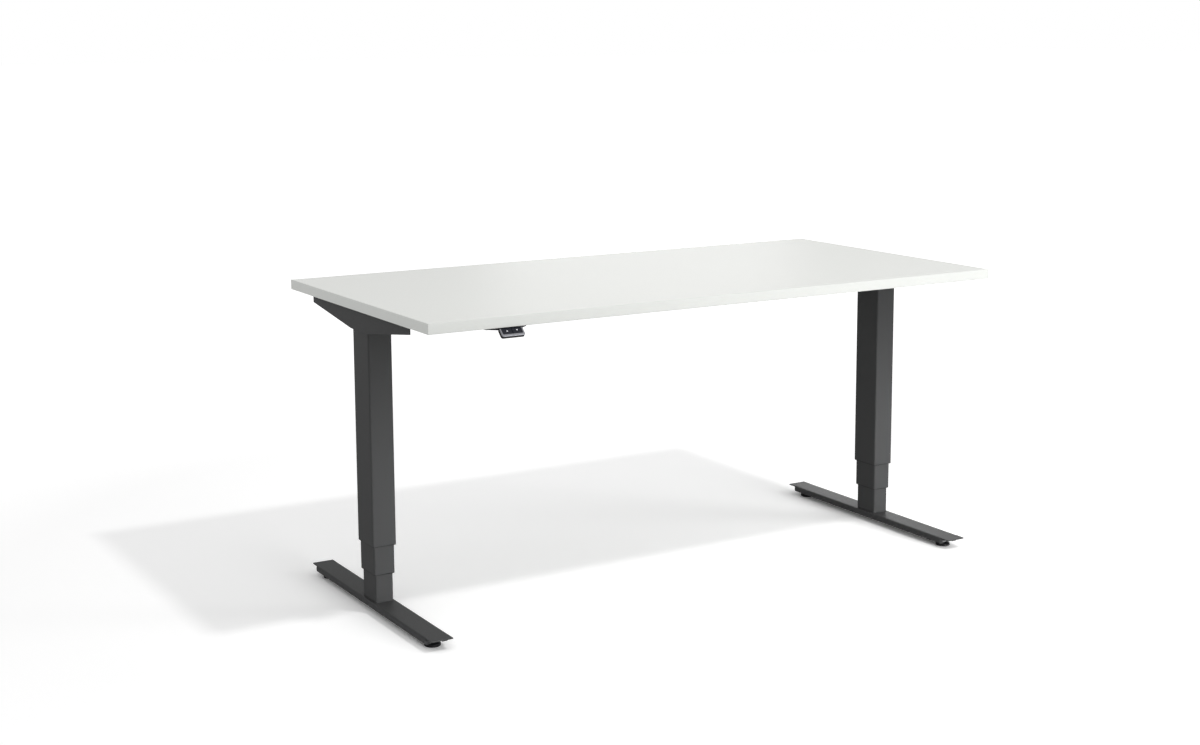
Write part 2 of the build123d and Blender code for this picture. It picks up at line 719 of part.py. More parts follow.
    # Inner tube: stands on the foot, with a welded plate at each end.
    with BuildPart() as inner_tube:
        with BuildSketch(level(side, foot_top)):
            tube_profile(inner_tube_x, inner_tube_y)
        extrude(amount=inner_length)
        with BuildSketch(level(side, foot_top)):
            RectangleRounded(inner_tube_x - tube_wall, inner_tube_y - tube_wall, tube_inner_radius)
        extrude(amount=end_plate_thickness)
        with BuildSketch(level(side, inner_top)):
            RectangleRounded(inner_tube_x - tube_wall, inner_tube_y - tube_wall, tube_inner_radius)
        extrude(amount=-end_plate_thickness)
        with BuildSketch(level(side, inner_top)):
            Circle(lower_nut_radius + press_clearance)
        extrude(amount=-end_plate_thickness, mode=Mode.SUBTRACT)
        with BuildSketch(level(side, foot_top)):
            with GridLocations(foot_bolt_spacing_x, foot_bolt_spacing_y, 2, 2):
                Circle(thread_hole)
        extrude(amount=foot_bolt_grip + pilot_margin, mode=Mode.SUBTRACT)
        for plane in stud_hole_planes(side, inner_tube_x, inner_tube_y, inner_top):
            with BuildSketch(plane):
                Circle(pad_stud_radius + press_clearance)
            extrude(amount=-2 * tube_wall, mode=Mode.SUBTRACT)
    inner_tube.part.label = f"{side_name}_inner_tube"
    export_step(inner_tube.part, f"parts/{side_name}_inner_tube.step")

    inner_pads = slide_pads(side, inner_tube_x, inner_tube_y, inner_top)
    inner_pads.label = f"{side_name}_inner_pads"
    export_step(inner_pads, f"parts/{side_name}_inner_pads.step")

    with BuildPart() as lower_nut:
        with BuildSketch(level(side, inner_top)):
            Circle(lower_nut_flange_radius)
        extrude(amount=nut_flange_height)
        with BuildSketch(level(side, inner_top)):
            Circle(lower_nut_radius)
        extrude(amount=-lower_nut_length)
        with BuildSketch(level(side, inner_top + nut_flange_height)):
            Circle(hollow_screw_radius + screw_running_clearance)
        extrude(amount=-(lower_nut_length + nut_flange_height), mode=Mode.SUBTRACT)
    lower_nut.part.label = f"{side_name}_lower_nut"
    export_step(lower_nut.part, f"parts/{side_name}_lower_nut.step")

# ======== Feet ========
for side_name, side in sides.items():
    # Folded foot: a C section with inward lips, and the top sheet run on as a flat tongue at each end.
    with BuildPart() as foot:
        wall_length = foot_length - 2 * foot_tongue
        inside_width = foot_width - 2 * sheet
        inside_height = foot_section_height - 2 * sheet
        front_end = Plane(
            origin=(side * column_x, -wall_length / 2, glide_height), x_dir=(1, 0, 0), z_dir=(0, -1, 0))
        with BuildSketch(front_end):
            with Locations((0, foot_section_height / 2)):
                RectangleRounded(foot_width, foot_section_height, bend_radius + sheet)
                RectangleRounded(inside_width, inside_height, bend_radius, mode=Mode.SUBTRACT)
            with Locations((0, sheet / 2)):
                Rectangle(foot_width - 2 * foot_lip, sheet, mode=Mode.SUBTRACT)
        extrude(amount=-wall_length)
        for end in ends.values():
            tongue_middle = end * (foot_length - foot_tongue) / 2
            with BuildSketch(Plane(origin=(side * column_x, tongue_middle, foot_top))):
                Rectangle(foot_tongue_width, foot_tongue)
            extrude(amount=-sheet)
            # Welded plate inside the section, tapped for the glide's stud.
            glide_place = Plane(origin=(side * column_x, end * glide_y, foot_top - sheet))
            with BuildSketch(glide_place):
                Rectangle(inside_width - 2 * bend_radius, nut_plate_length)
            extrude(amount=-inside_height)
            with BuildSketch(glide_place):
                Circle(glide_stud_radius + press_clearance)
            extrude(amount=-(inside_height + sheet), mode=Mode.SUBTRACT)
        with BuildSketch(level(side, foot_top)):
            with GridLocations(foot_bolt_spacing_x, foot_bolt_spacing_y, 2, 2):
                Circle(bolt_hole)
        extrude(amount=-sheet, mode=Mode.SUBTRACT)
    foot.part.label = f"{side_name}_foot"
    export_step(foot.part, f"parts/{side_name}_foot.step")

    with BuildPart() as foot_bolts:
        with BuildSketch(level(side, foot_top - sheet)):
            with GridLocations(foot_bolt_spacing_x, foot_bolt_spacing_y, 2, 2):
                RegularPolygon(bolt_head_flats / 2, 6, major_radius=False)
        extrude(amount=-bolt_head_height)
        with BuildSketch(level(side, foot_top - sheet)):
            with GridLocations(foot_bolt_spacing_x, foot_bolt_spacing_y, 2, 2):
                Circle(bolt_radius)
        extrude(amount=sheet + foot_bolt_grip)
    foot_bolts.part.label = f"{side_name}_foot_bolts"
    export_step(foot_bolts.part, f"parts/{side_name}_foot_bolts.step")

    for end_name, end in ends.items():
        glide_axis = Plane(origin=(side * column_x, end * glide_y, 0))
        hex_top = glide_height - glide_seat_gap
        stud_top = foot_top - sheet - glide_stud_top_gap
        with BuildPart() as glide:
            with BuildSketch(Plane(origin=glide_axis.origin, x_dir=(1, 0, 0), z_dir=(0, -1, 0))):
                with BuildLine():
                    Polyline(
                        (0, 0),
                        (glide_pad_radius - glide_foot_chamfer, 0),
                        (glide_pad_radius, glide_foot_chamfer),
                        (glide_pad_radius, glide_rim_height),
                        (glide_shoulder_radius, glide_pad_height),
                        (0, glide_pad_height),
                        close=True,
                    )
                make_face()
            revolve(axis=Axis(glide_axis.origin, (0, 0, 1)))
            with BuildSketch(glide_axis.offset(glide_pad_height)):
                RegularPolygon(glide_hex_flats / 2, 6, major_radius=False)
            extrude(amount=hex_top - glide_pad_height)
            with BuildSketch(glide_axis.offset(hex_top)):
                Circle(glide_stud_radius)
            extrude(amount=stud_top - hex_top)
        glide.part.label = f"{side_name}_{end_name}_glide"
        export_step(glide.part, f"parts/{side_name}_{end_name}_glide.step")

# ======== Control box ========
socket_z = underside - box_base_thickness - box_height / 2
socket_face = Plane(origin=(0, box_centre_y - box_depth / 2, socket_z), x_dir=(1, 0, 0), z_dir=(0, -1, 0))
with BuildPart() as control_box_base:
    with BuildSketch(Plane.XY.offset(underside)):
        with Locations((0, box_centre_y)):
            RectangleRounded(box_length + 2 * box_ear, box_depth, box_corner)
        with Locations(box_screws):
            Circle(sheet_screw_hole, mode=Mode.SUBTRACT)
    extrude(amount=-box_base_thickness)
control_box_base.part.label = "control_box_base"
export_step(control_box_base.part, "parts/control_box_base.step")

with BuildPart() as control_box_housing:
    with BuildSketch(Plane.XY.offset(underside - box_base_thickness)):
        with Locations((0, box_centre_y)):
            RectangleRounded(box_length, box_depth, box_corner)
    extrude(amount=-box_height)
    fillet(control_box_housing.edges().group_by(Axis.Z)[0], box_bottom_radius)
    with BuildSketch(socket_face):
        with Locations((-socket_spacing, 0), (0, 0), (socket_spacing, 0)):
            RectangleRounded(socket_width, socket_height, socket_corner)
        with Locations((-socket_spacing - inlet_from_socket, 0)):
            RectangleRounded(inlet_width, inlet_height, inlet_corner)
    extrude(amount=-socket_depth, mode=Mode.SUBTRACT)
control_box_housing.part.label = "control_box_housing"
export_step(control_box_housing.part, "parts/control_box_housing.step")

# ======== Handset ========
# Face plane: x along the desk, y up the slope, z out of the face.
tilt = radians(handset_tilt)
face_low_y = -desk_depth / 2 - handset_overhang
face_low_z = underside - handset_face_drop
face_middle_y = face_low_y + cos(tilt) * handset_face_length / 2
face_middle_z = face_low_z + sin(tilt) * handset_face_length / 2
face_plane = Plane(
    origin=(handset_x, face_middle_y, face_middle_z), x_dir=(1, 0, 0), z_dir=(0, -sin(tilt), cos(tilt)))
pocket_width = handset_width - 2 * bezel_side_rim
pocket_height = handset_face_length - bezel_lower_rim - bezel_upper_rim
pocket_rise = (bezel_lower_rim - bezel_upper_rim) / 2
pocket_plane = Plane(
    origin=face_plane.origin + face_plane.y_dir * pocket_rise,
    x_dir=face_plane.x_dir,
    z_dir=face_plane.z_dir)

with BuildPart() as handset_housing:
    with BuildSketch(face_plane):
        RectangleRounded(handset_width, handset_face_length, handset_corner)
    extrude(amount=-handset_body_thickness)
    with BuildSketch(Plane.XY.offset(underside)) as flange:
        with BuildLine():
            Polyline(
                (handset_x - handset_width / 2, handset_front),
                (handset_x + handset_width / 2, handset_front),
                (handset_x + handset_flange_width / 2, handset_front + handset_shoulder_depth),
                (handset_x + handset_flange_width / 2, handset_back),
                (handset_x - handset_flange_width / 2, handset_back),
                (handset_x - handset_flange_width / 2, handset_front + handset_shoulder_depth),
                close=True,
            )
        make_face()
        fillet(flange.vertices().group_by(Axis.Y)[-1], handset_flange_corner)
        with Locations(handset_screws):
            Circle(sheet_screw_hole, mode=Mode.SUBTRACT)
    extrude(amount=-handset_flange_thickness)
    with BuildSketch(pocket_plane):
        RectangleRounded(pocket_width, pocket_height, button_corner + button_gap)
    extrude(amount=-pocket_depth, mode=Mode.SUBTRACT)
handset_housing.part.label = "handset_housing"
export_step(handset_housing.part, "parts/handset_housing.step")

with BuildPart() as handset_bezel:
    with BuildSketch(face_plane):
        RectangleRounded(handset_width, handset_face_length, handset_corner)
        with Locations((0, pocket_rise)):
            RectangleRounded(pocket_width, pocket_height, button_corner + button_gap, mode=Mode.SUBTRACT)
    extrude(amount=bezel_thickness)
    rim = handset_bezel.faces().sort_by(Axis(face_plane.origin, face_plane.z_dir))[-1]
    chamfer(rim.outer_wire().edges(), bezel_chamfer)
handset_bezel.part.label = "handset_bezel"
export_step(handset_bezel.part, "parts/handset_bezel.step")

button_width = (pocket_width - 3 * button_gap) / 2
button_height = pocket_height - 2 * button_gap
button_pitch = button_width + button_gap
with BuildPart() as circuit_board:
    with BuildSketch(pocket_plane.offset(-pocket_depth)):
        RectangleRounded(pocket_width - 2 * button_gap, button_height, button_corner)
    extrude(amount=circuit_thickness)
    with BuildSketch(pocket_plane.offset(-pocket_depth + circuit_thickness)):
        with Locations((-button_pitch / 2, 0), (button_pitch / 2, 0)):
            Circle(switch_radius)
    extrude(amount=switch_height)
circuit_board.part.label = "handset_circuit_board"
export_step(circuit_board.part, "parts/handset_circuit_board.step")

for button_name, side in {"up": -1, "down": 1}.items():
    with BuildPart() as button:
        with BuildSketch(pocket_plane.offset(bezel_thickness + button_proud)):
            with Locations((side * button_pitch / 2, 0)):
                RectangleRounded(button_width, button_height, button_corner)
        extrude(amount=-button_thickness)
    button.part.label = f"handset_{button_name}_button"
    export_step(button.part, f"parts/handset_{button_name}_button.step")
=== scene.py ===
"""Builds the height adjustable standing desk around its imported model, run as a script."""
import json
from math import cos, pi, radians, sin, tau

import bmesh
import bpy
from bpy.props import FloatProperty, FloatVectorProperty, PointerProperty
from mathutils import Matrix, Vector

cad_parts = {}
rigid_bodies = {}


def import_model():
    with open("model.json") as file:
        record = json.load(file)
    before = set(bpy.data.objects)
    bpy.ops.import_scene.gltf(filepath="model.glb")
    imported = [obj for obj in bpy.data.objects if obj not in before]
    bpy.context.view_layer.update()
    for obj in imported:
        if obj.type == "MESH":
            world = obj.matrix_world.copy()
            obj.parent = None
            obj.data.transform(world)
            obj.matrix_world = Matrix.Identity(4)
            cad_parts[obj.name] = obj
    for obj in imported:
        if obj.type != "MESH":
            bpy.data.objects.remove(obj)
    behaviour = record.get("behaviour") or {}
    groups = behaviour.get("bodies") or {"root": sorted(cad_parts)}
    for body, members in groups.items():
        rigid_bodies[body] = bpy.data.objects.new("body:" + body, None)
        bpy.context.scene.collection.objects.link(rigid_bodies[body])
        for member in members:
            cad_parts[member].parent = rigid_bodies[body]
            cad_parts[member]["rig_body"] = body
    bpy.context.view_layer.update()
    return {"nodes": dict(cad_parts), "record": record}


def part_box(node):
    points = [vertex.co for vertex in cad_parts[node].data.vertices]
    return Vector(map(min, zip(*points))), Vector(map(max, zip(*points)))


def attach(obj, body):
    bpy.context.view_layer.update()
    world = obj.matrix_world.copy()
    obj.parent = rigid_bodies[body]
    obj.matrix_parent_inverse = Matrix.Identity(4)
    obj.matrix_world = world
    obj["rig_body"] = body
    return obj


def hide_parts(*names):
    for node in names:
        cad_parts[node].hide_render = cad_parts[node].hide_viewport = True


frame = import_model()

bl_info = {
    "name": "Height Adjustable Desk",
    "version": (1, 0, 0),
    "blender": (4, 5, 0),
    "location": "3D View > Sidebar > Desk",
    "description": "Finishes an electric sit-stand desk: top, columns, feet, drive and handset",
    "category": "Add Mesh",
}

MM = 0.001
UP = Vector((0, 0, 1))
SIDES = {"left": -1, "right": 1}
ENDS = ("front", "back")
WELD = 0.002 * MM  # vertices this close are one
TOUCH = 0.001 * MM  # a vertex this close to a plane lies on it
FLAT = radians(0.5)  # faces that meet at less are one flat face
SHARP = radians(30.0)  # edges that turn by more are rounded
SMOOTH = radians(32.0)  # edges that turn by less are shaded smooth
UPWARD = 0.3  # a face whose normal rises by more faces upwards


# ---------------------------------------------------------------- node trees

class Wire:
    """An output socket that takes part in Python expressions."""

    def __init__(self, socket):
        self.socket = socket

    def maths(self, operation, *operands):
        node = self.socket.id_data.nodes.new("ShaderNodeMath")
        node.operation = operation
        for slot, value in zip(node.inputs, operands):
            feed(slot, value)
        return Wire(node.outputs[0])

    def __add__(self, other):
        return self.maths("ADD", self, other)

    __radd__ = __add__

    def __sub__(self, other):
        return self.maths("SUBTRACT", self, other)

    def __rsub__(self, other):
        return self.maths("SUBTRACT", other, self)

    def __mul__(self, other):
        return self.maths("MULTIPLY", self, other)

    __rmul__ = __mul__

    def __truediv__(self, other):
        return self.maths("DIVIDE", self, other)

    def __rtruediv__(self, other):
        return self.maths("DIVIDE", other, self)


def feed(slot, value):
    """Links a wire to a socket, or sets the socket's own value."""
    if isinstance(value, Wire):
        slot.id_data.links.new(value.socket, slot)
    else:
        slot.default_value = value


class Graph:
    """A node tree whose nodes are added one call at a time."""

    def __init__(self, tree):
        self.tree = tree

    def add(self, kind, settings=None, sockets=None, out=0):
        """One node from its type, settings and sockets' values or links; gives back one output."""
        node = self.tree.nodes.new(kind)
        for name, value in (settings or {}).items():
            setattr(node, name, value)
        for name, value in (sockets or {}).items():
            feed(node.inputs[name], value)
        return Wire(node.outputs[out]) if len(node.outputs) else node

    def given(self, name):
        """One of the tree's own inputs."""
        return self.add("NodeGroupInput", out=name)

    def join(self, *parts):
        """Several geometries as one."""
        joint = self.add("GeometryNodeJoinGeometry")
        for part in parts:
            feed(joint.socket.node.inputs[0], part)
        return joint

    def blend(self, share, first, second):
        """Mixes two colours by a share between 0 and 1."""
        return self.add(
            "ShaderNodeMix", {"data_type": "RGBA"}, {0: share, 6: first, 7: second}, out=2)

    def ramp(self, value, low, high, start=0.0, end=1.0):
        """Maps a value between two limits to a range, held at both ends."""
        return self.add("ShaderNodeMapRange", {"clamp": True}, {
            "Value": value, "From Min": low, "From Max": high, "To Min": start, "To Max": end})


# ---------------------------------------------------------------- finishes

def tone(colour, factor):
    """The same colour, lighter or darker, with full alpha."""
    return tuple(min(1.0, channel * factor) for channel in colour[:3]) + (1.0,)


class Finish:
    """A material with one shader, whose maps are set by the methods below."""

    def __init__(self, name, colour, roughness, metallic=0.0, specular=0.5):
        self.material = bpy.data.materials.new(name)
        self.material.use_nodes = True
        self.graph = Graph(self.material.node_tree)
        self.shader = self.material.node_tree.nodes["Principled BSDF"]
        self.colour = tuple(colour[:3]) + (1.0,)
        self.shader.inputs["Base Color"].default_value = self.colour
        self.shader.inputs["Roughness"].default_value = roughness
        self.shader.inputs["Metallic"].default_value = metallic
        self.shader.inputs["Specular IOR Level"].default_value = specular
        self.place = self.graph.add("ShaderNodeTexCoord", out="Object")

    def noise(self, scale, detail=2.0, stretch=None):
        """Noise on object coordinates, its scale in waves per metre."""
        place = self.place
        if stretch:
            place = self.graph.add("ShaderNodeMapping", None, {"Vector": place, "Scale": stretch})
        return self.graph.add(
            "ShaderNodeTexNoise", None, {"Vector": place, "Scale": scale, "Detail": detail})

    def shade(self, share, low, high):
        """Lets the colour wander between two factors of itself."""
        mixed = self.graph.blend(share, tone(self.colour, low), tone(self.colour, high))
        feed(self.shader.inputs["Base Color"], mixed)

    def gloss(self, share, low, high):
        """Lets the roughness wander between two values, over the range that noise covers."""
        feed(self.shader.inputs["Roughness"], self.graph.ramp(share, 0.3, 0.7, low, high))

    def relief(self, height, depth):
        """Bump from a height between 0 and 1, its depth in millimetres."""
        bump = self.graph.add("ShaderNodeBump", None, {"Height": height, "Distance": depth * MM})
        feed(self.shader.inputs["Normal"], bump)


def melamine(colours):
    """White melamine board face: faint pearl texture and a very slight cloud."""
    finish = Finish("white_melamine", colours.board, 0.42)
    finish.shade(finish.noise(3.0), 0.985, 1.01)
    finish.gloss(finish.noise(260.0, 3.0), 0.38, 0.46)
    finish.relief(finish.noise(900.0, 3.0) * 0.7 + finish.noise(2600.0) * 0.3, 0.04)
    return finish


def edge_band(colours):
    """Matt plastic edge band with a fine grain along its length."""
    finish = Finish("white_edge_band", colours.band, 0.5)
    finish.shade(finish.noise(6.0), 0.985, 1.01)
    finish.relief(finish.noise(1400.0), 0.03)
    return finish


def powder_coat(colours):
    """Dark grey powder coat: fine orange peel and a soft sheen."""
    finish = Finish("grey_powder_coat", colours.frame, 0.5, specular=0.05)
    peel = finish.noise(1100.0)
    grain = finish.noise(4200.0)
    finish.shade(finish.noise(5.0, 3.0) * 0.5 + grain * 0.5, 0.93, 1.07)
    finish.gloss(finish.noise(420.0, 3.0), 0.45, 0.56)
    finish.relief(peel * 0.7 + grain * 0.3, 0.06)
    return finish


def black_nylon(colours):
    """Moulded black nylon with a light spark texture."""
    finish = Finish("black_nylon", colours.plastic, 0.5, specular=0.15)
    finish.shade(finish.noise(900.0, 3.0), 0.8, 1.2)
    finish.gloss(finish.noise(700.0, 3.0), 0.44, 0.58)
    finish.relief(finish.noise(2200.0, 3.0), 0.05)
    return finish


def housing_plastic(name, colour, spark):
    """Moulded housing plastic whose spark texture has the given depth in millimetres."""
    finish = Finish(name, colour, 0.45, specular=0.12)
    finish.shade(finish.noise(1300.0, 3.0), 0.88, 1.12)
    finish.gloss(finish.noise(1800.0), 0.4, 0.56)
    finish.relief(finish.noise(2400.0, 4.0), spark)
    return finish


def rubber(colours):
    """Matt black rubber."""
    finish = Finish("black_rubber", colours.plastic, 0.8, specular=0.15)
    finish.shade(finish.noise(500.0, 3.0), 0.8, 1.3)
    finish.relief(finish.noise(1500.0, 3.0), 0.08)
    return finish


def bare_metal(name, colour, low, high, grain, depth, stretch=None):
    """Bare metal with machining or casting marks: waves per metre, and millimetres deep."""
    finish = Finish(name, colour, (low + high) / 2, metallic=1.0)
    marks = finish.noise(grain, 4.0, stretch)
    finish.shade(finish.noise(60.0, 4.0) * 0.5 + marks * 0.5, 0.82, 1.1)
    finish.gloss(marks, low, high)
    finish.relief(marks, depth)
    return finish


def printed(name, colour):
    """Flat print on plastic."""
    finish = Finish(name, colour, 0.5)
    finish.shade(finish.noise(2000.0), 0.95, 1.03)
    return finish


finishes = {}


def make_finishes(colours):
    """Makes every material once, by the record's slot or by its own name."""
    nylon = black_nylon(colours)
    made = {
        "board_laminate": melamine(colours),
        "edge_band": edge_band(colours),
        "frame_paint": powder_coat(colours),
        "guide_plastic": nylon,
        "glide_plastic": nylon,
        "washer_rubber": rubber(colours),
        "cast_aluminium": bare_metal(
            "cast_aluminium", (0.42, 0.43, 0.44), 0.45, 0.65, 1200.0, 0.1),
        "motor_black": housing_plastic("motor_paint", (0.02, 0.02, 0.022), 0.02),
        "bronze_nut": bare_metal(
            "turned_bronze", (0.50, 0.31, 0.13), 0.28, 0.42, 900.0, 0.02, stretch=(1, 1, 8)),
        "screw_steel": bare_metal(
            "rolled_screw_steel", (0.36, 0.365, 0.37), 0.22, 0.4, 700.0, 0.02),
        "fastener_steel": bare_metal("zinc_plate", (0.50, 0.51, 0.52), 0.28, 0.45, 1600.0, 0.02),
        "box_plastic": housing_plastic("box_plastic", colours.plastic, 0.06),
        "handset_plastic": housing_plastic("handset_plastic", colours.plastic, 0.03),
        "bezel_silver": bare_metal(
            "silver_lacquer", (0.20, 0.20, 0.215), 0.3, 0.4, 2600.0, 0.01),
        "button_plastic": housing_plastic("button_plastic", (0.010, 0.011, 0.017), 0.02),
        "circuit_green": printed("solder_mask", (0.01, 0.09, 0.03)),
        "icon_white": printed("icon_print", (0.80, 0.80, 0.84)),
        "contact_brass": bare_metal(
            "contact_brass", (0.70, 0.50, 0.20), 0.2, 0.3, 900.0, 0.01),
    }
    finishes.update({name: finish.material for name, finish in made.items()})


# ---------------------------------------------------------------- meshes

def link(name, mesh):
    """A new object of a mesh, at the origin."""
    piece = bpy.data.objects.new(name, mesh)
    bpy.context.scene.collection.objects.link(piece)
    return piece


def from_bmesh(name, made):
    """A new object of a bmesh, with its faces turned outwards."""
    bmesh.ops.recalc_face_normals(made, faces=made.faces)
    mesh = bpy.data.meshes.new(name)
    made.to_mesh(mesh)
    made.free()
    return link(name, mesh)


def bake_modifiers(piece):
    """Turns the piece's modifiers into plain mesh, and gives back the mesh."""
    graph = bpy.context.evaluated_depsgraph_get()
    mesh = bpy.data.meshes.new_from_object(piece.evaluated_get(graph), depsgraph=graph)
    piece.modifiers.clear()
    piece.data = mesh
    return mesh


def settle(piece, angle=SMOOTH):
    """Turns the piece's modifiers into plain mesh and shades it by its angles."""
    mesh = bake_modifiers(piece)
    mesh.name = piece.name
    mesh.shade_smooth()
    mesh.set_sharp_from_angle(angle=angle)
    return piece


def merged(node, whole=True):
    """Bmesh of a CAD node with its loose triangles joined, and into whole faces if asked."""
    made = bmesh.new()
    made.from_mesh(frame["nodes"][node].data)
    bmesh.ops.remove_doubles(made, verts=made.verts, dist=WELD)
    if whole:
        bmesh.ops.dissolve_limit(made, angle_limit=FLAT, verts=made.verts, edges=made.edges)
    return made


def place_piece(piece, node, slot, finish=None):
    """Gives a piece its finish, picked by its slot or by a finish's name, and a CAD node's body to
    ride on.
    """
    piece.data.materials.clear()
    piece.data.materials.append(finishes[finish or slot])
    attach(piece, frame["nodes"][node]["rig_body"])


def stand_for(piece, node, slot):
    """Puts a finished piece in place of a CAD node."""
    place_piece(piece, node, slot)
    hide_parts(node)


def softened(node, name, width, slot, segments=2):
    """A CAD node's shape with its sharp edges rounded, in place of the node.

    Edges of the faces round a corner where four or more sharp edges meet stay as they are,
    because rounding would fold such a corner over itself.
    """
    made = merged(node)
    rounded = made.edges.layers.float.new("bevel_weight_edge")
    sharp = {edge for edge in made.edges if edge.calc_face_angle(0.0) > SHARP}
    busy = [vert for vert in made.verts if sum(edge in sharp for edge in vert.link_edges) > 3]
    crowded = {edge for vert in busy for face in vert.link_faces for edge in face.edges}
    for edge in sharp - crowded:
        edge[rounded] = 1.0
    piece = from_bmesh(name, made)
    bevel = piece.modifiers.new("Rounded edges", "BEVEL")
    bevel.width = width
    bevel.segments = segments
    bevel.limit_method = "WEIGHT"
    bevel.use_clamp_overlap = False
    settle(piece)
    piece.modifiers.new("Flat faces", "WEIGHTED_NORMAL").keep_sharp = True
    bake_modifiers(piece)
    stand_for(piece, node, slot)


def soften_slots(slots, ending, width):
    """Rounds the edges of every CAD node that has one of the record's slots."""
    for item in frame["record"]["subparts"]:
        if item["material_slot"] in slots:
            softened(item["node"], f"{item['node']}_{ending}", width, item["material_slot"])


def block(low, high):
    """Bmesh of a box between two corners."""
    made = bmesh.new()
    bmesh.ops.create_cube(made, size=1.0)
    for vert in made.verts:
        vert.co = [low[i] + (vert.co[i] + 0.5) * (high[i] - low[i]) for i in range(3)]
    return made


def middle_of(low, high, height):
    """Middle of a box's plan, at a height."""
    return Vector(((low.x + high.x) / 2, (low.y + high.y) / 2, height))


def bevel_edges(made, chosen, width, segments):
    """Rounds the chosen edges of a bmesh."""
    bmesh.ops.bevel(
        made, geom=chosen, offset=width, offset_type="OFFSET", segments=segments, profile=0.5,
        affect="EDGES", clamp_overlap=False)


def turned(name, profile, segments, closed=False):
    """Upright form turned at the origin: its profile is (radius, height), in millimetres."""
    made = bmesh.new()
    angles = [tau * step / segments for step in range(segments)]
    rings = []
    for radius, height in ((radius * MM, height * MM) for radius, height in profile):
        if radius <= 0:
            rings.append([made.verts.new((0, 0, height))])
            continue
        rings.append([made.verts.new((radius * cos(a), radius * sin(a), height)) for a in angles])
    for ring, following in zip(rings, rings[1:] + (rings[:1] if closed else [])):
        for i in range(segments):
            j = (i + 1) % segments
            if len(ring) == 1:
                made.faces.new((ring[0], following[j], following[i]))
            elif len(following) == 1:
                made.faces.new((ring[i], ring[j], following[0]))
            else:
                made.faces.new((ring[i], ring[j], following[j], following[i]))
    return settle(from_bmesh(name, made))


def facing(node):
    """Middle of a node's largest upward face, and the turn that lays a level form on it."""
    made = merged(node)
    upward = [face for face in made.faces if face.normal.z > UPWARD]
    face = max(upward, key=lambda face: face.calc_area())
    middle, normal = face.calc_center_bounds(), face.normal.copy()
    made.free()
    across = Vector((1, 0, 0))
    return middle, Matrix((across, normal.cross(across), normal)).transposed()


def rounded_outline(width, height, radius, steps=6):
    """Points round a rectangle with rounded corners."""
    points = []
    for corner, (sign_x, sign_y) in enumerate(((1, 1), (-1, 1), (-1, -1), (1, -1))):
        for step in range(steps + 1):
            angle = (corner + step / steps) * pi / 2
            points.append((
                sign_x * (width / 2 - radius) + radius * cos(angle),
                sign_y * (height / 2 - radius) + radius * sin(angle)))
    return points


def stacked(name, outlines, origin=(0, 0, 0), turn=Matrix.Identity(3), angle=SMOOTH):
    """Closed form from (outline, height) pairs with as many points each, in millimetres."""
    made = bmesh.new()
    rings = [
        [made.verts.new(Vector(origin) + turn @ Vector((x, y, height)) * MM) for x, y in outline]
        for outline, height in outlines]
    for ring, following in zip(rings, rings[1:]):
        for i in range(len(ring)):
            j = (i + 1) % len(ring)
            made.faces.new((ring[i], ring[j], following[j], following[i]))
    made.faces.new(rings[0][::-1])
    made.faces.new(rings[-1])
    return settle(from_bmesh(name, made), angle)


def islands(node):
    """Lowest and highest corners of each separate body in a CAD node."""
    made = merged(node)
    waiting, boxes = set(made.verts), []
    while waiting:
        reached = [waiting.pop()]
        for vert in reached:
            near = [edge.other_vert(vert) for edge in vert.link_edges]
            fresh = [other for other in near if other in waiting]
            waiting.difference_update(fresh)
            reached.extend(fresh)
        places = [vert.co for vert in reached]
        boxes.append((
            Vector((min(place[i] for place in places) for i in range(3))),
            Vector((max(place[i] for place in places) for i in range(3)))))
    made.free()
    return sorted(boxes, key=lambda box: tuple(round(value, 4) for value in box[0]))


def carved(base, cutter, operation="DIFFERENCE"):
    """Cuts one closed form out of another, or to another, and removes the cutter."""
    modifier = base.modifiers.new("Carved", "BOOLEAN")
    modifier.operation = operation
    modifier.solver = "EXACT"
    modifier.object = cutter
    settle(base)
    bpy.data.objects.remove(cutter)
    return base


def joined(name, pieces):
    """Several pieces as one."""
    made = bmesh.new()
    for piece in pieces:
        made.from_mesh(piece.data)
        bpy.data.objects.remove(piece)
    return settle(from_bmesh(name, made))


# ---------------------------------------------------------------- repeated forms

def new_tree(name, inputs):
    """A geometry tree with named inputs after its geometry, given as name and socket type."""
    tree = bpy.data.node_groups.new(name, "GeometryNodeTree")
    tree.interface.new_socket(name="Geometry", in_out="INPUT", socket_type="NodeSocketGeometry")
    for label, kind in inputs.items():
        tree.interface.new_socket(name=label, in_out="INPUT", socket_type=f"NodeSocket{kind}")
    tree.interface.new_socket(name="Geometry", in_out="OUTPUT", socket_type="NodeSocketGeometry")
    return tree, Graph(tree)


def end_tree(graph, geometry):
    """Closes a tree: instances made real, and its material set."""
    real = graph.add("GeometryNodeRealizeInstances", None, {"Geometry": geometry})
    finished = graph.add(
        "GeometryNodeSetMaterial", None, {"Geometry": real, "Material": graph.given("Material")})
    graph.add("NodeGroupOutput", None, {"Geometry": finished})


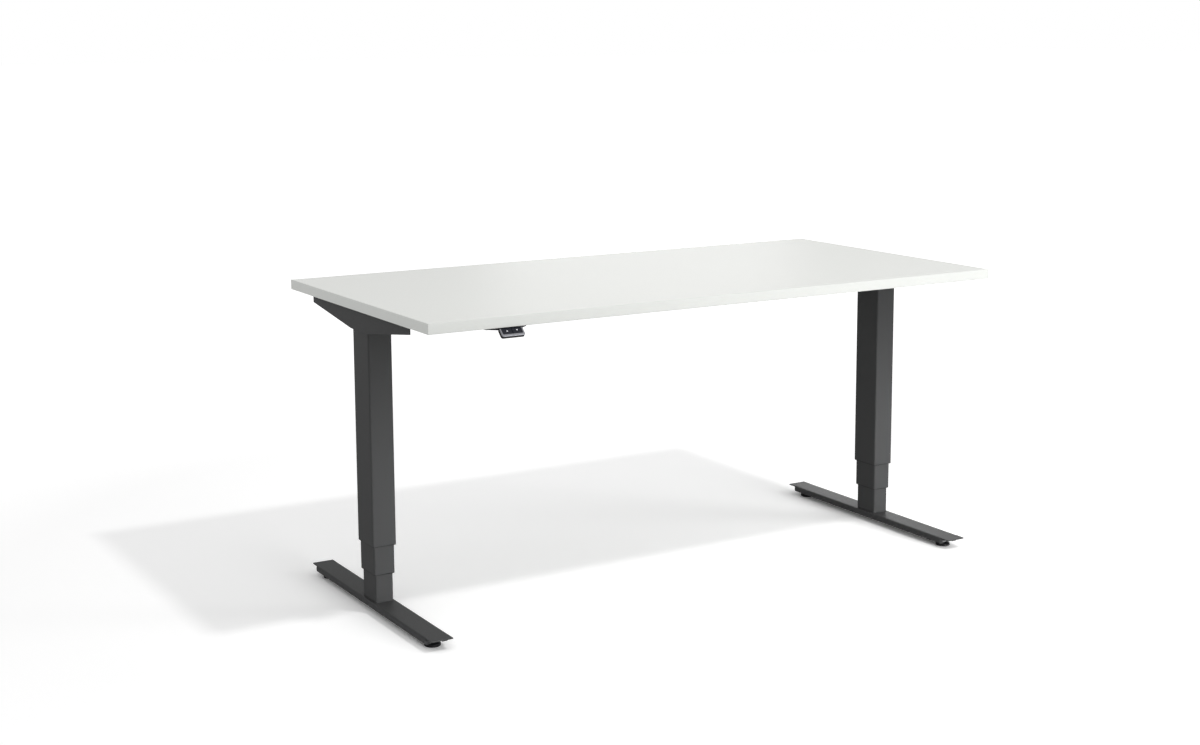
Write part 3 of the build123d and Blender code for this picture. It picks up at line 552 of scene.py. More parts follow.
def thread_tree():
    """Winds a thread of one or more starts round the form it is given."""
    tree, graph = new_tree("Wound thread", {
        "Radius": "Float", "Start": "Float", "Length": "Float", "Lead": "Float", "Depth": "Float",
        "Starts": "Int", "Steps": "Int", "Material": "Material"})
    core = graph.given("Radius") - graph.given("Depth")
    length = graph.given("Length")
    helix = graph.add("GeometryNodeCurveSpiral", None, {
        "Resolution": graph.given("Steps"), "Rotations": length / graph.given("Lead"),
        "Start Radius": core, "End Radius": core, "Height": length})
    upright = graph.add("GeometryNodeSetCurveNormal", {"mode": "Z_UP"}, {"Curve": helix})
    ridge = graph.add("GeometryNodeCurvePrimitiveCircle", None, {
        "Resolution": 4, "Radius": graph.given("Depth")})
    wound = graph.add("GeometryNodeCurveToMesh", None, {
        "Curve": upright, "Profile Curve": ridge, "Fill Caps": True})
    foot = graph.add("ShaderNodeCombineXYZ", None, {"Z": graph.given("Start")})
    raised = graph.add("GeometryNodeSetPosition", None, {"Geometry": wound, "Offset": foot})
    starts = graph.add(
        "GeometryNodeMeshLine", None, {"Count": graph.given("Starts"), "Offset": (0, 0, 0)})
    share = graph.add("GeometryNodeInputIndex") * tau / graph.given("Starts")
    angle = graph.add("FunctionNodeEulerToRotation", None, {
        "Euler": graph.add("ShaderNodeCombineXYZ", None, {"Z": share})})
    threads = graph.add("GeometryNodeInstanceOnPoints", None, {
        "Points": starts, "Instance": raised, "Rotation": angle})
    end_tree(graph, graph.join(graph.given("Geometry"), threads))
    return tree


def repeat_tree():
    """Sets one form on every point, pointing along the point's axis and turned by chance."""
    tree, graph = new_tree("Repeated part", {
        "Part": "Object", "Turn": "Float", "Seed": "Int", "Material": "Material"})
    axis = graph.add(
        "GeometryNodeInputNamedAttribute", {"data_type": "FLOAT_VECTOR"}, {"Name": "axis"})
    along = graph.add("FunctionNodeAlignRotationToVector", {"axis": "Z"}, {"Vector": axis})
    chance = graph.add("FunctionNodeRandomValue", {"data_type": "FLOAT"}, {
        2: 0.0, 3: graph.given("Turn"), 8: graph.given("Seed")}, out=1)
    spin = graph.add("FunctionNodeEulerToRotation", None, {
        "Euler": graph.add("ShaderNodeCombineXYZ", None, {"Z": chance})})
    turned = graph.add("FunctionNodeRotateRotation", {"rotation_space": "LOCAL"}, {
        "Rotation": along, "Rotate By": spin})
    part = graph.add(
        "GeometryNodeObjectInfo", None, {"Object": graph.given("Part")}, out="Geometry")
    end_tree(graph, graph.add("GeometryNodeInstanceOnPoints", None, {
        "Points": graph.given("Geometry"), "Instance": part, "Rotation": turned}))
    return tree


def slot_tree():
    """Cuts a row of equal slots through the form it is given."""
    tree, graph = new_tree("Row of slots", {
        "Cutter": "Object", "Count": "Int", "Start": "Vector", "Pitch": "Vector",
        "Material": "Material"})
    row = graph.add("GeometryNodeMeshLine", None, {
        "Count": graph.given("Count"), "Start Location": graph.given("Start"),
        "Offset": graph.given("Pitch")})
    cutter = graph.add(
        "GeometryNodeObjectInfo", None, {"Object": graph.given("Cutter")}, out="Geometry")
    slots = graph.add("GeometryNodeInstanceOnPoints", None, {"Points": row, "Instance": cutter})
    cut = graph.add("GeometryNodeMeshBoolean", {"operation": "DIFFERENCE", "solver": "EXACT"}, {
        "Mesh 1": graph.given("Geometry"), "Mesh 2": slots})
    end_tree(graph, cut)
    return tree


trees = {}


def grown(piece, maker, **values):
    """Runs a geometry tree on a piece and turns the result into plain mesh."""
    tree = trees.get(maker) or trees.setdefault(maker, maker())
    modifier = piece.modifiers.new(tree.name, "NODES")
    modifier.node_group = tree
    for item in tree.interface.items_tree:
        key = item.name.lower()
        if item.in_out == "INPUT" and key in values:
            modifier[item.identifier] = values[key]
    settle(piece)
    made = bmesh.new()
    made.from_mesh(piece.data)
    bmesh.ops.recalc_face_normals(made, faces=made.faces)
    made.to_mesh(piece.data)
    made.free()
    return piece


def threaded(part, radius, start, length, lead, depth, slot, starts=1, steps=12):
    """Winds a thread round a part whose axis is upright at the origin, in millimetres."""
    return grown(
        part, thread_tree, radius=radius * MM, start=start * MM, length=length * MM,
        lead=lead * MM, depth=depth * MM, starts=starts, steps=steps, material=finishes[slot])


def repeated(name, part, places, slot, turn=tau, seed=3):
    """One part on each of the places, a list of (point, direction), turned by up to an angle."""
    mesh = bpy.data.meshes.new(name)
    mesh.from_pydata([tuple(point) for point, direction in places], [], [])
    axis = mesh.attributes.new("axis", "FLOAT_VECTOR", "POINT")
    for item, (point, direction) in zip(axis.data, places):
        item.vector = direction
    piece = grown(
        link(name, mesh), repeat_tree, part=part, turn=turn, seed=seed, material=finishes[slot])
    bpy.data.objects.remove(part)
    return piece


# ---------------------------------------------------------------- fastener forms

def wood_screw():
    """Pan head screw that points up: its seat is at the origin."""
    head, high = 4.5, 2.6
    screw = turned("wood_screw", [
        (0, -high), (2.0, -high), (3.3, -high + 0.35), (4.1, -high + 1.0), (head, -0.8),
        (head - 0.05, -0.1), (head - 0.4, 0), (1.75, 0), (1.6, 0.5), (1.6, 13.5), (0.3, 16.4),
        (0, 16.6)], 28)
    mouth = rounded_outline(width=5.0, height=1.1, radius=0.2, steps=2)
    floor = rounded_outline(width=2.4, height=0.7, radius=0.1, steps=2)
    for angle in (0.0, pi / 2):
        carved(screw, stacked(
            "cross", ((mouth, -high - 0.3), (mouth, -high + 0.15), (floor, -high + 1.7)),
            turn=Matrix.Rotation(angle, 3, "Z")))
    return threaded(
        screw, radius=2.2, start=1.2, length=13.2, lead=2.2, depth=0.6, slot="fastener_steel")


def hex_prism(flats, low, high, chamfer_low=0.0, chamfer_high=0.0):
    """Hexagon bar between two heights, its corners turned off by a cone at each end."""
    corner = flats / 2 / cos(pi / 6)
    clear, edge = corner * 1.2, flats / 2 * 0.97
    bar = turned("hexagon", [(0, low), (corner, low), (corner, high), (0, high)], 6)
    cone = turned("cone", [
        (0, low), (edge if chamfer_low else clear, low), (clear, low + chamfer_low),
        (clear, high - chamfer_high), (edge if chamfer_high else clear, high), (0, high)], 36)
    return carved(bar, cone, "INTERSECT")


def hex_bolt(length):
    """M6 hexagon bolt that points up: the underside of its head is at the origin."""
    flats, head, radius, depth = 10, 4, 3, 0.35
    core, collar = radius - depth, flats / 2 * 0.95
    bolt = hex_prism(flats, -head, -0.3, chamfer_low=0.9)
    shank = turned("shank", [
        (0, -1), (collar, -1), (collar, 0), (core, 0), (core, length - 0.7), (core - 0.6, length),
        (0, length)], 24)
    bolt = joined("hex_bolt", [bolt, shank])
    if length < 4:
        return bolt
    return threaded(
        bolt, radius, start=1.2, length=length - 2.2, lead=1, depth=depth, slot="fastener_steel",
        steps=10)


def hex_nut(thickness):
    """M6 hexagon nut that stands on the origin."""
    flats, bore, chamfer = 10, 3, 1.5
    nut = hex_prism(flats, 0, thickness, 0.7, 0.7)
    return carved(nut, turned("bore", [
        (0, -1), (bore + chamfer, -1), (bore, 0.5), (bore, thickness - 0.5),
        (bore + chamfer, thickness + 1), (0, thickness + 1)], 24))


def countersunk_screw(length):
    """M6 countersunk screw that points down: the flat of its head is at the origin."""
    screw = turned("countersunk_screw", [
        (0, 0), (5.3, 0), (5.6, -0.3), (3.0, -2.7), (2.65, -3.1), (2.65, -length + 0.6),
        (2.1, -length), (0, -length)], 28)
    carved(screw, turned("hexagon_socket", [(0, 1), (2.3, 1), (2.3, -1.9), (0, -3)], 6))
    return threaded(
        screw, radius=3, start=-length + 0.6, length=length - 4, lead=1, depth=0.35,
        slot="fastener_steel", steps=10)


# ---------------------------------------------------------------- settings

class DeskSizes(bpy.types.PropertyGroup):
    """Sizes of the finish that a user may change."""

    sheet_edge: FloatProperty(
        name="Sheet edge", description="Rounding of the cut sheet edges", default=0.35 * MM,
        unit="LENGTH", precision=5)
    plastic_edge: FloatProperty(
        name="Plastic edge", description="Rounding of the moulded edges", default=0.4 * MM,
        unit="LENGTH", precision=5)
    band_edge: FloatProperty(
        name="Band edge", description="Rounding along the top's edge bands", default=1.6 * MM,
        unit="LENGTH", precision=5)
    thread_lead: FloatProperty(
        name="Thread lead", description="Rise of the lead screws in one turn", default=6 * MM,
        unit="LENGTH", precision=5)
    thread_depth: FloatProperty(
        name="Thread depth", description="Height of the lead screws' thread", default=1.1 * MM,
        unit="LENGTH", precision=5)


class DeskColours(bpy.types.PropertyGroup):
    """Colours that a user may change."""

    board: FloatVectorProperty(
        name="Board", description="Colour of the top's faces", default=(0.718, 0.728, 0.699),
        subtype="COLOR", min=0, max=1)
    band: FloatVectorProperty(
        name="Edge band", description="Colour of the top's edges", default=(0.724, 0.738, 0.710),
        subtype="COLOR", min=0, max=1)
    frame: FloatVectorProperty(
        name="Frame", description="Colour of the powder coat", default=(0.048, 0.0485, 0.049),
        subtype="COLOR", min=0, max=1)
    plastic: FloatVectorProperty(
        name="Plastic", description="Colour of the black plastic", default=(0.006, 0.006, 0.007),
        subtype="COLOR", min=0, max=1)


class StageSettings(bpy.types.PropertyGroup):
    """Light and camera."""

    lens: FloatProperty(
        name="Lens", description="Focal length of the camera", default=54.03, unit="CAMERA")
    sky: FloatProperty(
        name="Sky", description="Strength of the even light from all round", default=0.68)
    key: FloatProperty(
        name="Key light", description="Power of the small lamp high in front", default=229.0)
    low_softbox: FloatProperty(
        name="Low softbox", description="Power of the low soft lamp in front", default=5.4)
    side_softbox: FloatProperty(
        name="Side softbox", description="Power of the soft lamp on the right", default=7.2)
    strip_light: FloatProperty(
        name="Strip light", description="Power of the narrow lamp that lights the columns",
        default=4.6)
    back_softbox: FloatProperty(
        name="Back softbox", description="Power of the soft lamp whose glow lies on the top",
        default=1.7)
    sheen_card: FloatProperty(
        name="Sheen card", description="Power of the card whose sheen lies on the right foot",
        default=2.1)
    floor: FloatProperty(name="Floor", description="Paleness of the floor", default=0.57)
    floor_seen: FloatProperty(
        name="Floor as seen", description="Paleness of the floor in the frame and in reflections",
        default=1.19)


# ---------------------------------------------------------------- operators

# Size, place and target of each soft lamp, in metres, and its spread in degrees.
SOFTBOXES = {
    "low_softbox": ((1.6, 0.5), (0.9, -1.9, 0.3), (0.0, 0.0, 0.5), 120),
    "side_softbox": ((1.0, 1.0), (2.6, -1.6, 1.4), (0.5, 0.0, 0.6), 120),
    "sheen_card": ((0.7, 0.35), (1.76, 1.2, 0.46), (0.756, 0.0, 0.03), 120),
    "strip_light": ((2.2, 0.2), (0.25, -1.6, 0.2), (0.1, 0.0, 0.2), 40),
    "back_softbox": ((1.4, 0.35), (2.0, 3.2, 1.45), (0.0, -0.4, 0.75), 120),
}
KEY_PLACE = (0.95, -2.55, 4.4)
KEY_RADIUS = 0.16
FLOOR_SIZE = 60.0  # half of its width
FLOOR_NEAR, FLOOR_FAR = 1.7, 4.5  # the floor as seen brightens between these distances
FLOOR_GAIN = 1.5
CAMERA_PLACE = (-2.4260, -3.8513, 1.3900)
CAMERA_YAW, CAMERA_PITCH, CAMERA_ROLL = 0.5369, 0.1529, -0.0047
CAMERA_SHIFT = -0.0604  # keeps the columns nearly upright in the frame, as a shift lens does


class DESK_OT_stage(bpy.types.Operator):
    """Sets up floor, light and camera"""

    bl_idname = "desk.stage"
    bl_label = "Floor, Light and Camera"

    def execute(self, context):
        settings = context.scene.desk_stage
        scene = context.scene
        scene.view_settings.view_transform = "Standard"
        self.add_floor(settings)
        self.add_sky(scene, settings)
        self.add_key(settings)
        lamps = {
            name: self.add_softbox(name, getattr(settings, name), *shape)
            for name, shape in SOFTBOXES.items()}
        lamps["side_softbox"].visible_glossy = False  # or its glow washes out the top's right end
        lamps["sheen_card"].visible_diffuse = False  # it lays a sheen on the right foot, no light
        self.add_camera(scene, settings.lens)
        return {"FINISHED"}

    def seen_directly(self, graph):
        """One for a ray from the camera, a reflection or a clear piece, else nothing."""
        camera, glossy, clear = (
            graph.add("ShaderNodeLightPath", out=f"Is {kind} Ray")
            for kind in ("Camera", "Glossy", "Transmission"))
        return graph.add("ShaderNodeClamp", None, {"Value": camera + glossy + clear})

    def add_floor(self, settings):
        """Pale floor that reads white where nothing shades it, and keeps the shadow."""
        made = bmesh.new()
        bmesh.ops.create_grid(made, x_segments=1, y_segments=1, size=FLOOR_SIZE)
        floor = from_bmesh("floor", made)
        material = bpy.data.materials.new("pale_floor")
        material.use_nodes = True
        graph = Graph(material.node_tree)
        material.node_tree.nodes.remove(material.node_tree.nodes["Principled BSDF"])
        apart = graph.add(
            "ShaderNodeVectorMath", {"operation": "LENGTH"},
            {0: graph.add("ShaderNodeTexCoord", out="Object")}, out="Value")
        near, far, lit = ((level,) * 3 + (1,) for level in (
            settings.floor_seen, settings.floor_seen * FLOOR_GAIN, settings.floor))
        seen = graph.blend(graph.ramp(apart, FLOOR_NEAR, FLOOR_FAR), near, far)
        shades = graph.blend(self.seen_directly(graph), lit, seen)
        diffuse = graph.add("ShaderNodeBsdfDiffuse", None, {"Color": shades})
        feed(material.node_tree.nodes["Material Output"].inputs["Surface"], diffuse)
        floor.data.materials.append(material)

    def add_sky(self, scene, settings):
        """Even light from all round, which is white where it is seen directly."""
        world = bpy.data.worlds.new("studio")
        scene.world = world
        world.use_nodes = True
        graph = Graph(world.node_tree)
        background = world.node_tree.nodes["Background"]
        background.inputs["Color"].default_value = (1, 1, 1, 1)
        share = self.seen_directly(graph)
        feed(background.inputs["Strength"], share + (1.0 - share) * settings.sky)

    def add_key(self, settings):
        """Small bright lamp high in front, which casts the clear edge of the shadow."""
        lamp = bpy.data.lights.new("key_light", "POINT")
        lamp.energy = settings.key
        lamp.shadow_soft_size = KEY_RADIUS
        holder = bpy.data.objects.new("key_light", lamp)
        bpy.context.scene.collection.objects.link(holder)
        holder.location = KEY_PLACE

    def add_softbox(self, name, power, size, place, target, spread):
        """One large soft lamp, aimed at a point; gives back the lamp."""
        lamp = bpy.data.lights.new(name, "AREA")
        lamp.shape = "RECTANGLE"
        lamp.size, lamp.size_y = size
        lamp.energy = power
        lamp.spread = radians(spread)
        holder = bpy.data.objects.new(name, lamp)
        bpy.context.scene.collection.objects.link(holder)
        holder.location = place
        holder.visible_camera = False
        aim = Vector(target) - Vector(place)
        holder.rotation_euler = aim.to_track_quat("-Z", "Y").to_euler()
        return holder

    def add_camera(self, scene, lens):
        """Camera in front of the desk, on its left and higher than its top."""
        yaw, pitch, roll = CAMERA_YAW, CAMERA_PITCH, CAMERA_ROLL
        ahead = Vector((sin(yaw) * cos(pitch), cos(yaw) * cos(pitch), -sin(pitch)))
        level = Vector((cos(yaw), -sin(yaw), 0))
        upward = level.cross(ahead)
        across = level * cos(roll) + upward * sin(roll)
        above = upward * cos(roll) - level * sin(roll)
        data = bpy.data.cameras.new("camera")
        data.lens = lens
        data.sensor_width = 36
        data.shift_y = CAMERA_SHIFT
        camera = bpy.data.objects.new("camera", data)
        scene.collection.objects.link(camera)
        turn = Matrix((across, above, -ahead)).transposed().to_4x4()
        camera.matrix_world = Matrix.Translation(CAMERA_PLACE) @ turn
        scene.camera = camera


class DESK_OT_top(bpy.types.Operator):
    """Makes the top: the board and its four edge bands"""

    bl_idname = "desk.top"
    bl_label = "Top"

    def execute(self, context):
        width = context.scene.desk_sizes.band_edge
        made = block(*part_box("desktop_board"))
        bevel_edges(made, made.edges[:], width=0.12 * MM, segments=1)
        board = settle(from_bmesh("top_board", made))
        stand_for(board, "desktop_board", "board_laminate")
        for axis, names in enumerate((("left", "right"), ENDS)):
            for name, sign in zip(names, (-1, 1)):
                self.add_band(f"{name}_edge_band", axis, sign, width)
        return {"FINISHED"}

    def add_band(self, node, axis, sign, width):
        """Edge band with a rounded arris, and its ends eased so that the corner joints show."""
        low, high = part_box(node)
        made = block(low, high)
        outer = high[axis] if sign > 0 else low[axis]
        along = 1 - axis

        def lies_at(edge, across, plane):
            return all(abs(vert.co[across] - plane) < TOUCH for vert in edge.verts)

        def at_an_end(edge):
            return lies_at(edge, along, low[along]) or lies_at(edge, along, high[along])

        outside = [edge for edge in made.edges if lies_at(edge, axis, outer)]
        arris = [edge for edge in outside if not at_an_end(edge)]
        bevel_edges(made, arris, width, segments=4)
        ends = [edge for edge in made.edges if at_an_end(edge)]
        bevel_edges(made, ends, width=0.3 * MM, segments=1)
        stand_for(settle(from_bmesh(f"{node}_strip", made)), node, "edge_band")


class DESK_OT_steel(bpy.types.Operator):
    """Makes the coated steel: feet, column tubes, brackets, heads and cross beam"""

    bl_idname = "desk.steel"
    bl_label = "Coated Steel"

    def execute(self, context):
        soften_slots(("frame_paint",), "coated", context.scene.desk_sizes.sheet_edge)
        return {"FINISHED"}


class DESK_OT_guides(bpy.types.Operator):
    """Makes the plastic collars and slide pads and the rubber washers"""

    bl_idname = "desk.guides"
    bl_label = "Collars, Pads and Washers"

    def execute(self, context):
        width = context.scene.desk_sizes.plastic_edge
        soften_slots(("guide_plastic", "washer_rubber"), "moulded", width)
        return {"FINISHED"}


class DESK_OT_drive(bpy.types.Operator):
    """Makes gearboxes, motors, lead screws, nuts and carriers"""

    bl_idname = "desk.drive"
    bl_label = "Drive"

    def execute(self, context):
        sizes = context.scene.desk_sizes
        width = sizes.plastic_edge
        for side, sign in SIDES.items():
            for part in ("gearbox", "screw_carrier"):
                softened(f"{side}_{part}", f"{side}_{part}_cast", width, "cast_aluminium")
            for part in ("upper_nut", "lower_nut"):
                softened(f"{side}_{part}", f"{side}_{part}_turned", width, "bronze_nut")
            self.add_motor(f"{side}_motor", sign)
            self.add_drive_screw(f"{side}_drive_screw", sizes)
            self.add_hollow_screw(f"{side}_hollow_screw", sizes)
        return {"FINISHED"}

    def add_motor(self, node, sign):
        """Motor can with rolled grooves, a stepped end cap and its three screws."""
        low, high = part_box(node)
        radius, length = (high.z - low.z) / 2 / MM, (high.x - low.x) / MM
        face = length - 8
        can = turned("can", [
            (0, 0), (radius - 1.2, 0), (radius - 0.2, 0.6), (radius, 1.4), (radius, 8),
            (radius - 0.7, 8.6), (radius - 0.7, 10), (radius, 10.6), (radius, face - 10.6),
            (radius - 0.7, face - 10), (radius - 0.7, face - 8.6), (radius, face - 8),
            (radius, face - 1.6), (radius - 0.4, face - 0.4), (radius - 1.6, face), (17.5, face),
            (17.5, length - 1.4), (16.4, length - 0.2), (15.2, length), (8.6, length),
            (8.0, length - 0.6), (8.0, length - 2.2), (0, length - 2.2)], 64)
        middle = (low + high) / 2
        middle.x = low.x if sign < 0 else high.x
        along = Vector((-sign, 0, 0))
        can = repeated("can_in_place", can, [(middle, along)], "motor_black", turn=0.0)
        screw = turned("cap_screw", [(0, 0), (1.7, 0), (1.7, 0.7), (1.1, 1.2), (0, 1.2)], 16)
        places = []
        for step in range(3):
            angle = tau * step / 3 + pi / 2
            offset = Vector((0, cos(angle), sin(angle))) * (radius - 2.3) + along * (face - 0.2)
            places.append((middle + offset * MM, along))
        screws = repeated("cap_screws", screw, places, "motor_black")
        stand_for(joined(f"{node}_can", [can, screws]), node, "motor_black")

    def add_drive_screw(self, node, sizes):
        """Journal, thrust collar and threaded spindle."""
        low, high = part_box(node)
        length, radius, depth = (high.z - low.z) / MM, 7, sizes.thread_depth / MM
        root, journal, collar, seat = radius - depth, 6, 11, length - 20
        spindle = turned("spindle", [
            (0, 0), (root - 0.6, 0), (root, 0.8), (root, seat - 6), (collar - 0.4, seat - 6),
            (collar, seat - 5.6), (collar, seat - 0.4), (collar - 0.4, seat), (journal, seat),
            (journal, length - 0.6), (journal - 0.6, length), (0, length)], 40)
        self.stand_screw(node, "spindle", spindle, radius, length - 30, sizes, 28)

    def add_hollow_screw(self, node, sizes):
        """Threaded tube under a collar, with a key bush at its mouth."""
        low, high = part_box(node)
        length, radius, depth = (high.z - low.z) / MM, 12, sizes.thread_depth / MM
        root, bore, bush, collar, seat = radius - depth, 8.5, 7.3, 15.7, length - 8
        tube = turned("threaded_tube", [
            (bore, 0), (root - 0.6, 0), (root, 0.8), (root, seat), (collar - 0.4, seat),
            (collar, seat + 0.4), (collar, length - 0.4), (collar - 0.4, length),
            (bush + 0.5, length), (bush, length - 0.5), (bush, length - 16), (bore, length - 16)],
            48, closed=True)
        self.stand_screw(node, "tube", tube, radius, length - 12, sizes, 36)

    def stand_screw(self, node, ending, part, radius, length, sizes, steps):
        """Cuts a two-start thread on a lead screw, and stands it in place of its node."""
        part = threaded(
            part, radius, start=3, length=length, lead=sizes.thread_lead / MM,
            depth=sizes.thread_depth / MM, slot="screw_steel", starts=2, steps=steps)
        low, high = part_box(node)
        places = [(middle_of(low, high, low.z), UP)]
        piece = repeated(f"{node}_{ending}", part, places, "screw_steel", turn=0.0)
        stand_for(piece, node, "screw_steel")


class DESK_OT_fasteners(bpy.types.Operator):
    """Makes screws, bolts and nuts"""

    bl_idname = "desk.fasteners"
    bl_label = "Screws and Bolts"

    def execute(self, context):
        self.upright("desktop_screws", wood_screw(), head=2.6)
        self.upright("beam_lock_screws", hex_bolt(length=2), head=4)
        for side in SIDES:
            self.upright(f"{side}_foot_bolts", hex_bolt(length=9), head=4)
        self.upright("clamping_screws", countersunk_screw(length=18))
        self.add_head_bolts("column_head_bolts")
        return {"FINISHED"}

    def upright(self, node, part, head=None):
        """Parts seated a head's height over the lowest point, or at the highest if it has none."""
        places = []
        for low, high in islands(node):
            seat = high.z if head is None else low.z + head * MM
            places.append((middle_of(low, high, seat), UP))
        stand_for(repeated(f"{node}_zinc", part, places, "fastener_steel"), node, "fastener_steel")

    def add_head_bolts(self, node):
        """Bolts through rails and cheeks, pointing inwards, and the nuts on the longer ones."""
        head, thickest_nut, longest_short = 4 * MM, 6 * MM, 25 * MM
        long_places, short_places, nut_places = [], [], []
        for low, high in islands(node):
            inward = Vector((0, -1 if low.y > 0 else 1, 0))
            size = high.y - low.y
            seat = (low + high) / 2
            seat.y = high.y if low.y > 0 else low.y
            if size < thickest_nut:
                nut_places.append((seat, inward))
            elif size > longest_short:
                long_places.append((seat + inward * head, inward))
            else:
                short_places.append((seat + inward * head, inward))
        pieces = [
            repeated("long_bolts", hex_bolt(length=27), long_places, "fastener_steel", seed=4),
            repeated("short_bolts", hex_bolt(length=14), short_places, "fastener_steel", seed=5),
            repeated("nuts", hex_nut(thickness=5), nut_places, "fastener_steel", seed=6)]
        stand_for(joined(f"{node}_zinc", pieces), node, "fastener_steel")


class DESK_OT_glides(bpy.types.Operator):
    """Makes the levelling glides: a ringed nylon pad under a hexagon and its threaded stud"""

    bl_idname = "desk.glides"
    bl_label = "Glides"

    def execute(self, context):
        for side in SIDES:
            for end in ENDS:
                self.add_glide(f"{side}_{end}_glide")
        return {"FINISHED"}

    def add_glide(self, node):
        """Nylon pad, and over it the hexagon and the stud as one steel piece."""
        low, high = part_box(node)
        places = [(middle_of(low, high, 0), UP)]
        top = high.z / MM
        pad = turned("pad", [
            (0, 0.8), (15.4, 0.8), (15.9, 0.1), (16.2, 0), (18.2, 0), (18.8, 0.4), (19.0, 1.1),
            (19.0, 2.5), (18.8, 2.9), (18.35, 3.1), (18.35, 3.5), (18.75, 3.7), (18.9, 4.1),
            (18.9, 5.1), (18.6, 5.7), (18.0, 6.1), (12.0, 9.0), (11.2, 9.4), (10.6, 9.5),
            (0, 9.5)], 64)
        pad = repeated(f"{node}_pad", pad, places, "glide_plastic", turn=0.0)
        stand_for(pad, node, "glide_plastic")
        nut = hex_prism(flats=17, low=9.4, high=11.7, chamfer_high=0.6)
        rod = turned("rod", [(0, 10), (3.5, 10), (3.5, top - 0.6), (2.9, top), (0, top)], 28)
        stud = threaded(
            joined("stud", [nut, rod]), radius=4, start=11.9, length=top - 13, lead=1.25,
            depth=0.5, slot="fastener_steel", steps=16)
        stud = repeated(f"{node}_stud", stud, places, "fastener_steel")
        place_piece(stud, node, "fastener_steel")


class DESK_OT_control_box(bpy.types.Operator):
    """Makes the control box: slotted housing, base, and the pins in its sockets"""

    bl_idname = "desk.control_box"
    bl_label = "Control Box"

    def execute(self, context):
        width = context.scene.desk_sizes.plastic_edge
        softened("control_box_base", "control_box_base_moulded", width, "box_plastic")
        low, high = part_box("control_box_housing")
        loose = merged("control_box_housing", whole=False)
        housing = from_bmesh("control_box_housing_moulded", loose)
        outline = rounded_outline(width=3, height=44, radius=1.5, steps=4)
        cutter = stacked("slot", ((outline, -1), (outline, 1.8)))
        middle = (low + high) / 2
        count, pitch = 22, 8 * MM
        grown(
            housing, slot_tree, cutter=cutter, count=count,
            start=(middle.x - pitch * (count - 1) / 2, middle.y, low.z), pitch=(pitch, 0, 0),
            material=finishes["box_plastic"])
        bpy.data.objects.remove(cutter)
        stand_for(housing, "control_box_housing", "box_plastic")
        self.add_pins(low, middle)
        return {"FINISHED"}

    def add_pins(self, low, middle):
        """Two rows of three pins in each small socket, and three thick ones in the inlet."""
        out = Vector((0, -1, 0))
        foot = Vector((middle.x, low.y + 13.5 * MM, middle.z))
        thin = [
            (socket + column, row)
            for socket in (-40, 0, 40) for row in (-1.6, 1.6) for column in (-3.4, 0, 3.4)]
        thick = [(-101.2, -2.4), (-90.8, -2.4), (-96, 3.0)]
        pieces = []
        for name, spots, radius, length in (("thin", thin, 0.55, 8), ("thick", thick, 1.3, 10)):
            places = [(foot + Vector((across, 0, rise)) * MM, out) for across, rise in spots]
            pin = turned("pin", [
                (0, 0), (radius, 0), (radius, length - 1), (radius / 2, length), (0, length)], 14)
            pieces.append(repeated(f"{name}_pins", pin, places, "contact_brass"))
        pins = joined("socket_pins", pieces)
        place_piece(pins, "control_box_housing", "fastener_steel", "contact_brass")


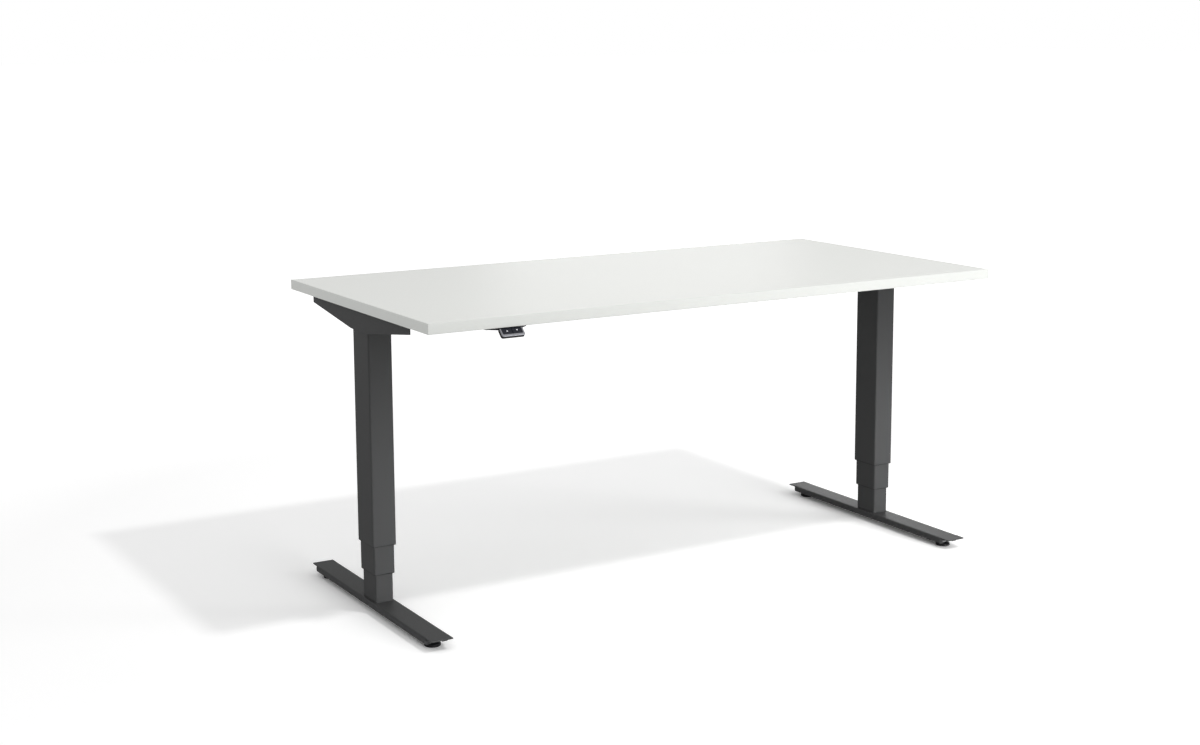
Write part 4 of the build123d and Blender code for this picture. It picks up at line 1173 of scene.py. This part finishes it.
class DESK_OT_handset(bpy.types.Operator):
    """Makes the handset: housing, silver bezel, circuit board, crowned buttons and their arrows"""

    bl_idname = "desk.handset"
    bl_label = "Handset"

    def execute(self, context):
        width = context.scene.desk_sizes.plastic_edge
        softened("handset_housing", "handset_housing_moulded", width * 1.5, "handset_plastic", 3)
        softened("handset_bezel", "handset_bezel_moulded", width * 0.6, "bezel_silver")
        softened(
            "handset_circuit_board", "handset_circuit_board_etched", width * 0.3, "circuit_green")
        for node, point in (("handset_up_button", 1), ("handset_down_button", -1)):
            self.add_button(node, point)
        return {"FINISHED"}

    def add_button(self, node, point):
        """Button with a softly crowned face, and an arrow printed on it."""
        middle, turn = facing(node)
        made = merged(node)
        inside = [turn.transposed() @ (vert.co - middle) / MM for vert in made.verts]
        made.free()
        width, height = (2 * max(abs(place[i]) for place in inside) for i in (0, 1))
        depth = -min(place[2] for place in inside)
        outlines = [
            (rounded_outline(width - 2 * inset, height - 2 * inset, max(1.5 - inset, 0.4)), level)
            for inset, level in (
                (0.25, -depth), (0, -depth + 0.25), (0, -0.95), (0.1, -0.65), (0.35, -0.47),
                (0.9, -0.33), (2.0, -0.2), (3.6, -0.08), (5.6, 0.0))]
        button = stacked(f"{node}_crowned", outlines, middle, turn, angle=radians(50.0))
        stand_for(button, node, "button_plastic")
        arrow = [(2.3 * x, 2.0 * y * point) for x, y in ((-1, -1), (1, -1), (0, 1))]
        arrow = stacked(f"{node}_arrow", ((arrow, -0.3), (arrow, 0.04)), middle, turn)
        place_piece(arrow, node, "button_plastic", "icon_white")


class DESK_PT_panel(bpy.types.Panel):
    """Lists the desk's makers in the sidebar"""

    bl_idname = "DESK_PT_panel"
    bl_label = "Desk"
    bl_space_type = "VIEW_3D"
    bl_region_type = "UI"
    bl_category = "Desk"

    def draw(self, context):
        for holder in GROUPS:
            group = getattr(context.scene, holder)
            for name in group.__annotations__:
                self.layout.prop(group, name)
        for maker in MAKERS:
            self.layout.operator(maker.bl_idname)


GROUPS = {"desk_sizes": DeskSizes, "desk_colours": DeskColours, "desk_stage": StageSettings}
MAKERS = (
    DESK_OT_stage, DESK_OT_top, DESK_OT_steel, DESK_OT_guides, DESK_OT_drive, DESK_OT_fasteners,
    DESK_OT_glides, DESK_OT_control_box, DESK_OT_handset)


def register():
    for group in (*GROUPS.values(), *MAKERS, DESK_PT_panel):
        bpy.utils.register_class(group)
    for name, group in GROUPS.items():
        setattr(bpy.types.Scene, name, PointerProperty(type=group))


def unregister():
    for name in GROUPS:
        delattr(bpy.types.Scene, name)
    for group in (DESK_PT_panel, *reversed(MAKERS), *GROUPS.values()):
        bpy.utils.unregister_class(group)


def main():
    register()
    make_finishes(bpy.context.scene.desk_colours)
    for maker in MAKERS:
        category, name = maker.bl_idname.split(".")
        getattr(getattr(bpy.ops, category), name)()


if __name__ == "__main__":
    main()
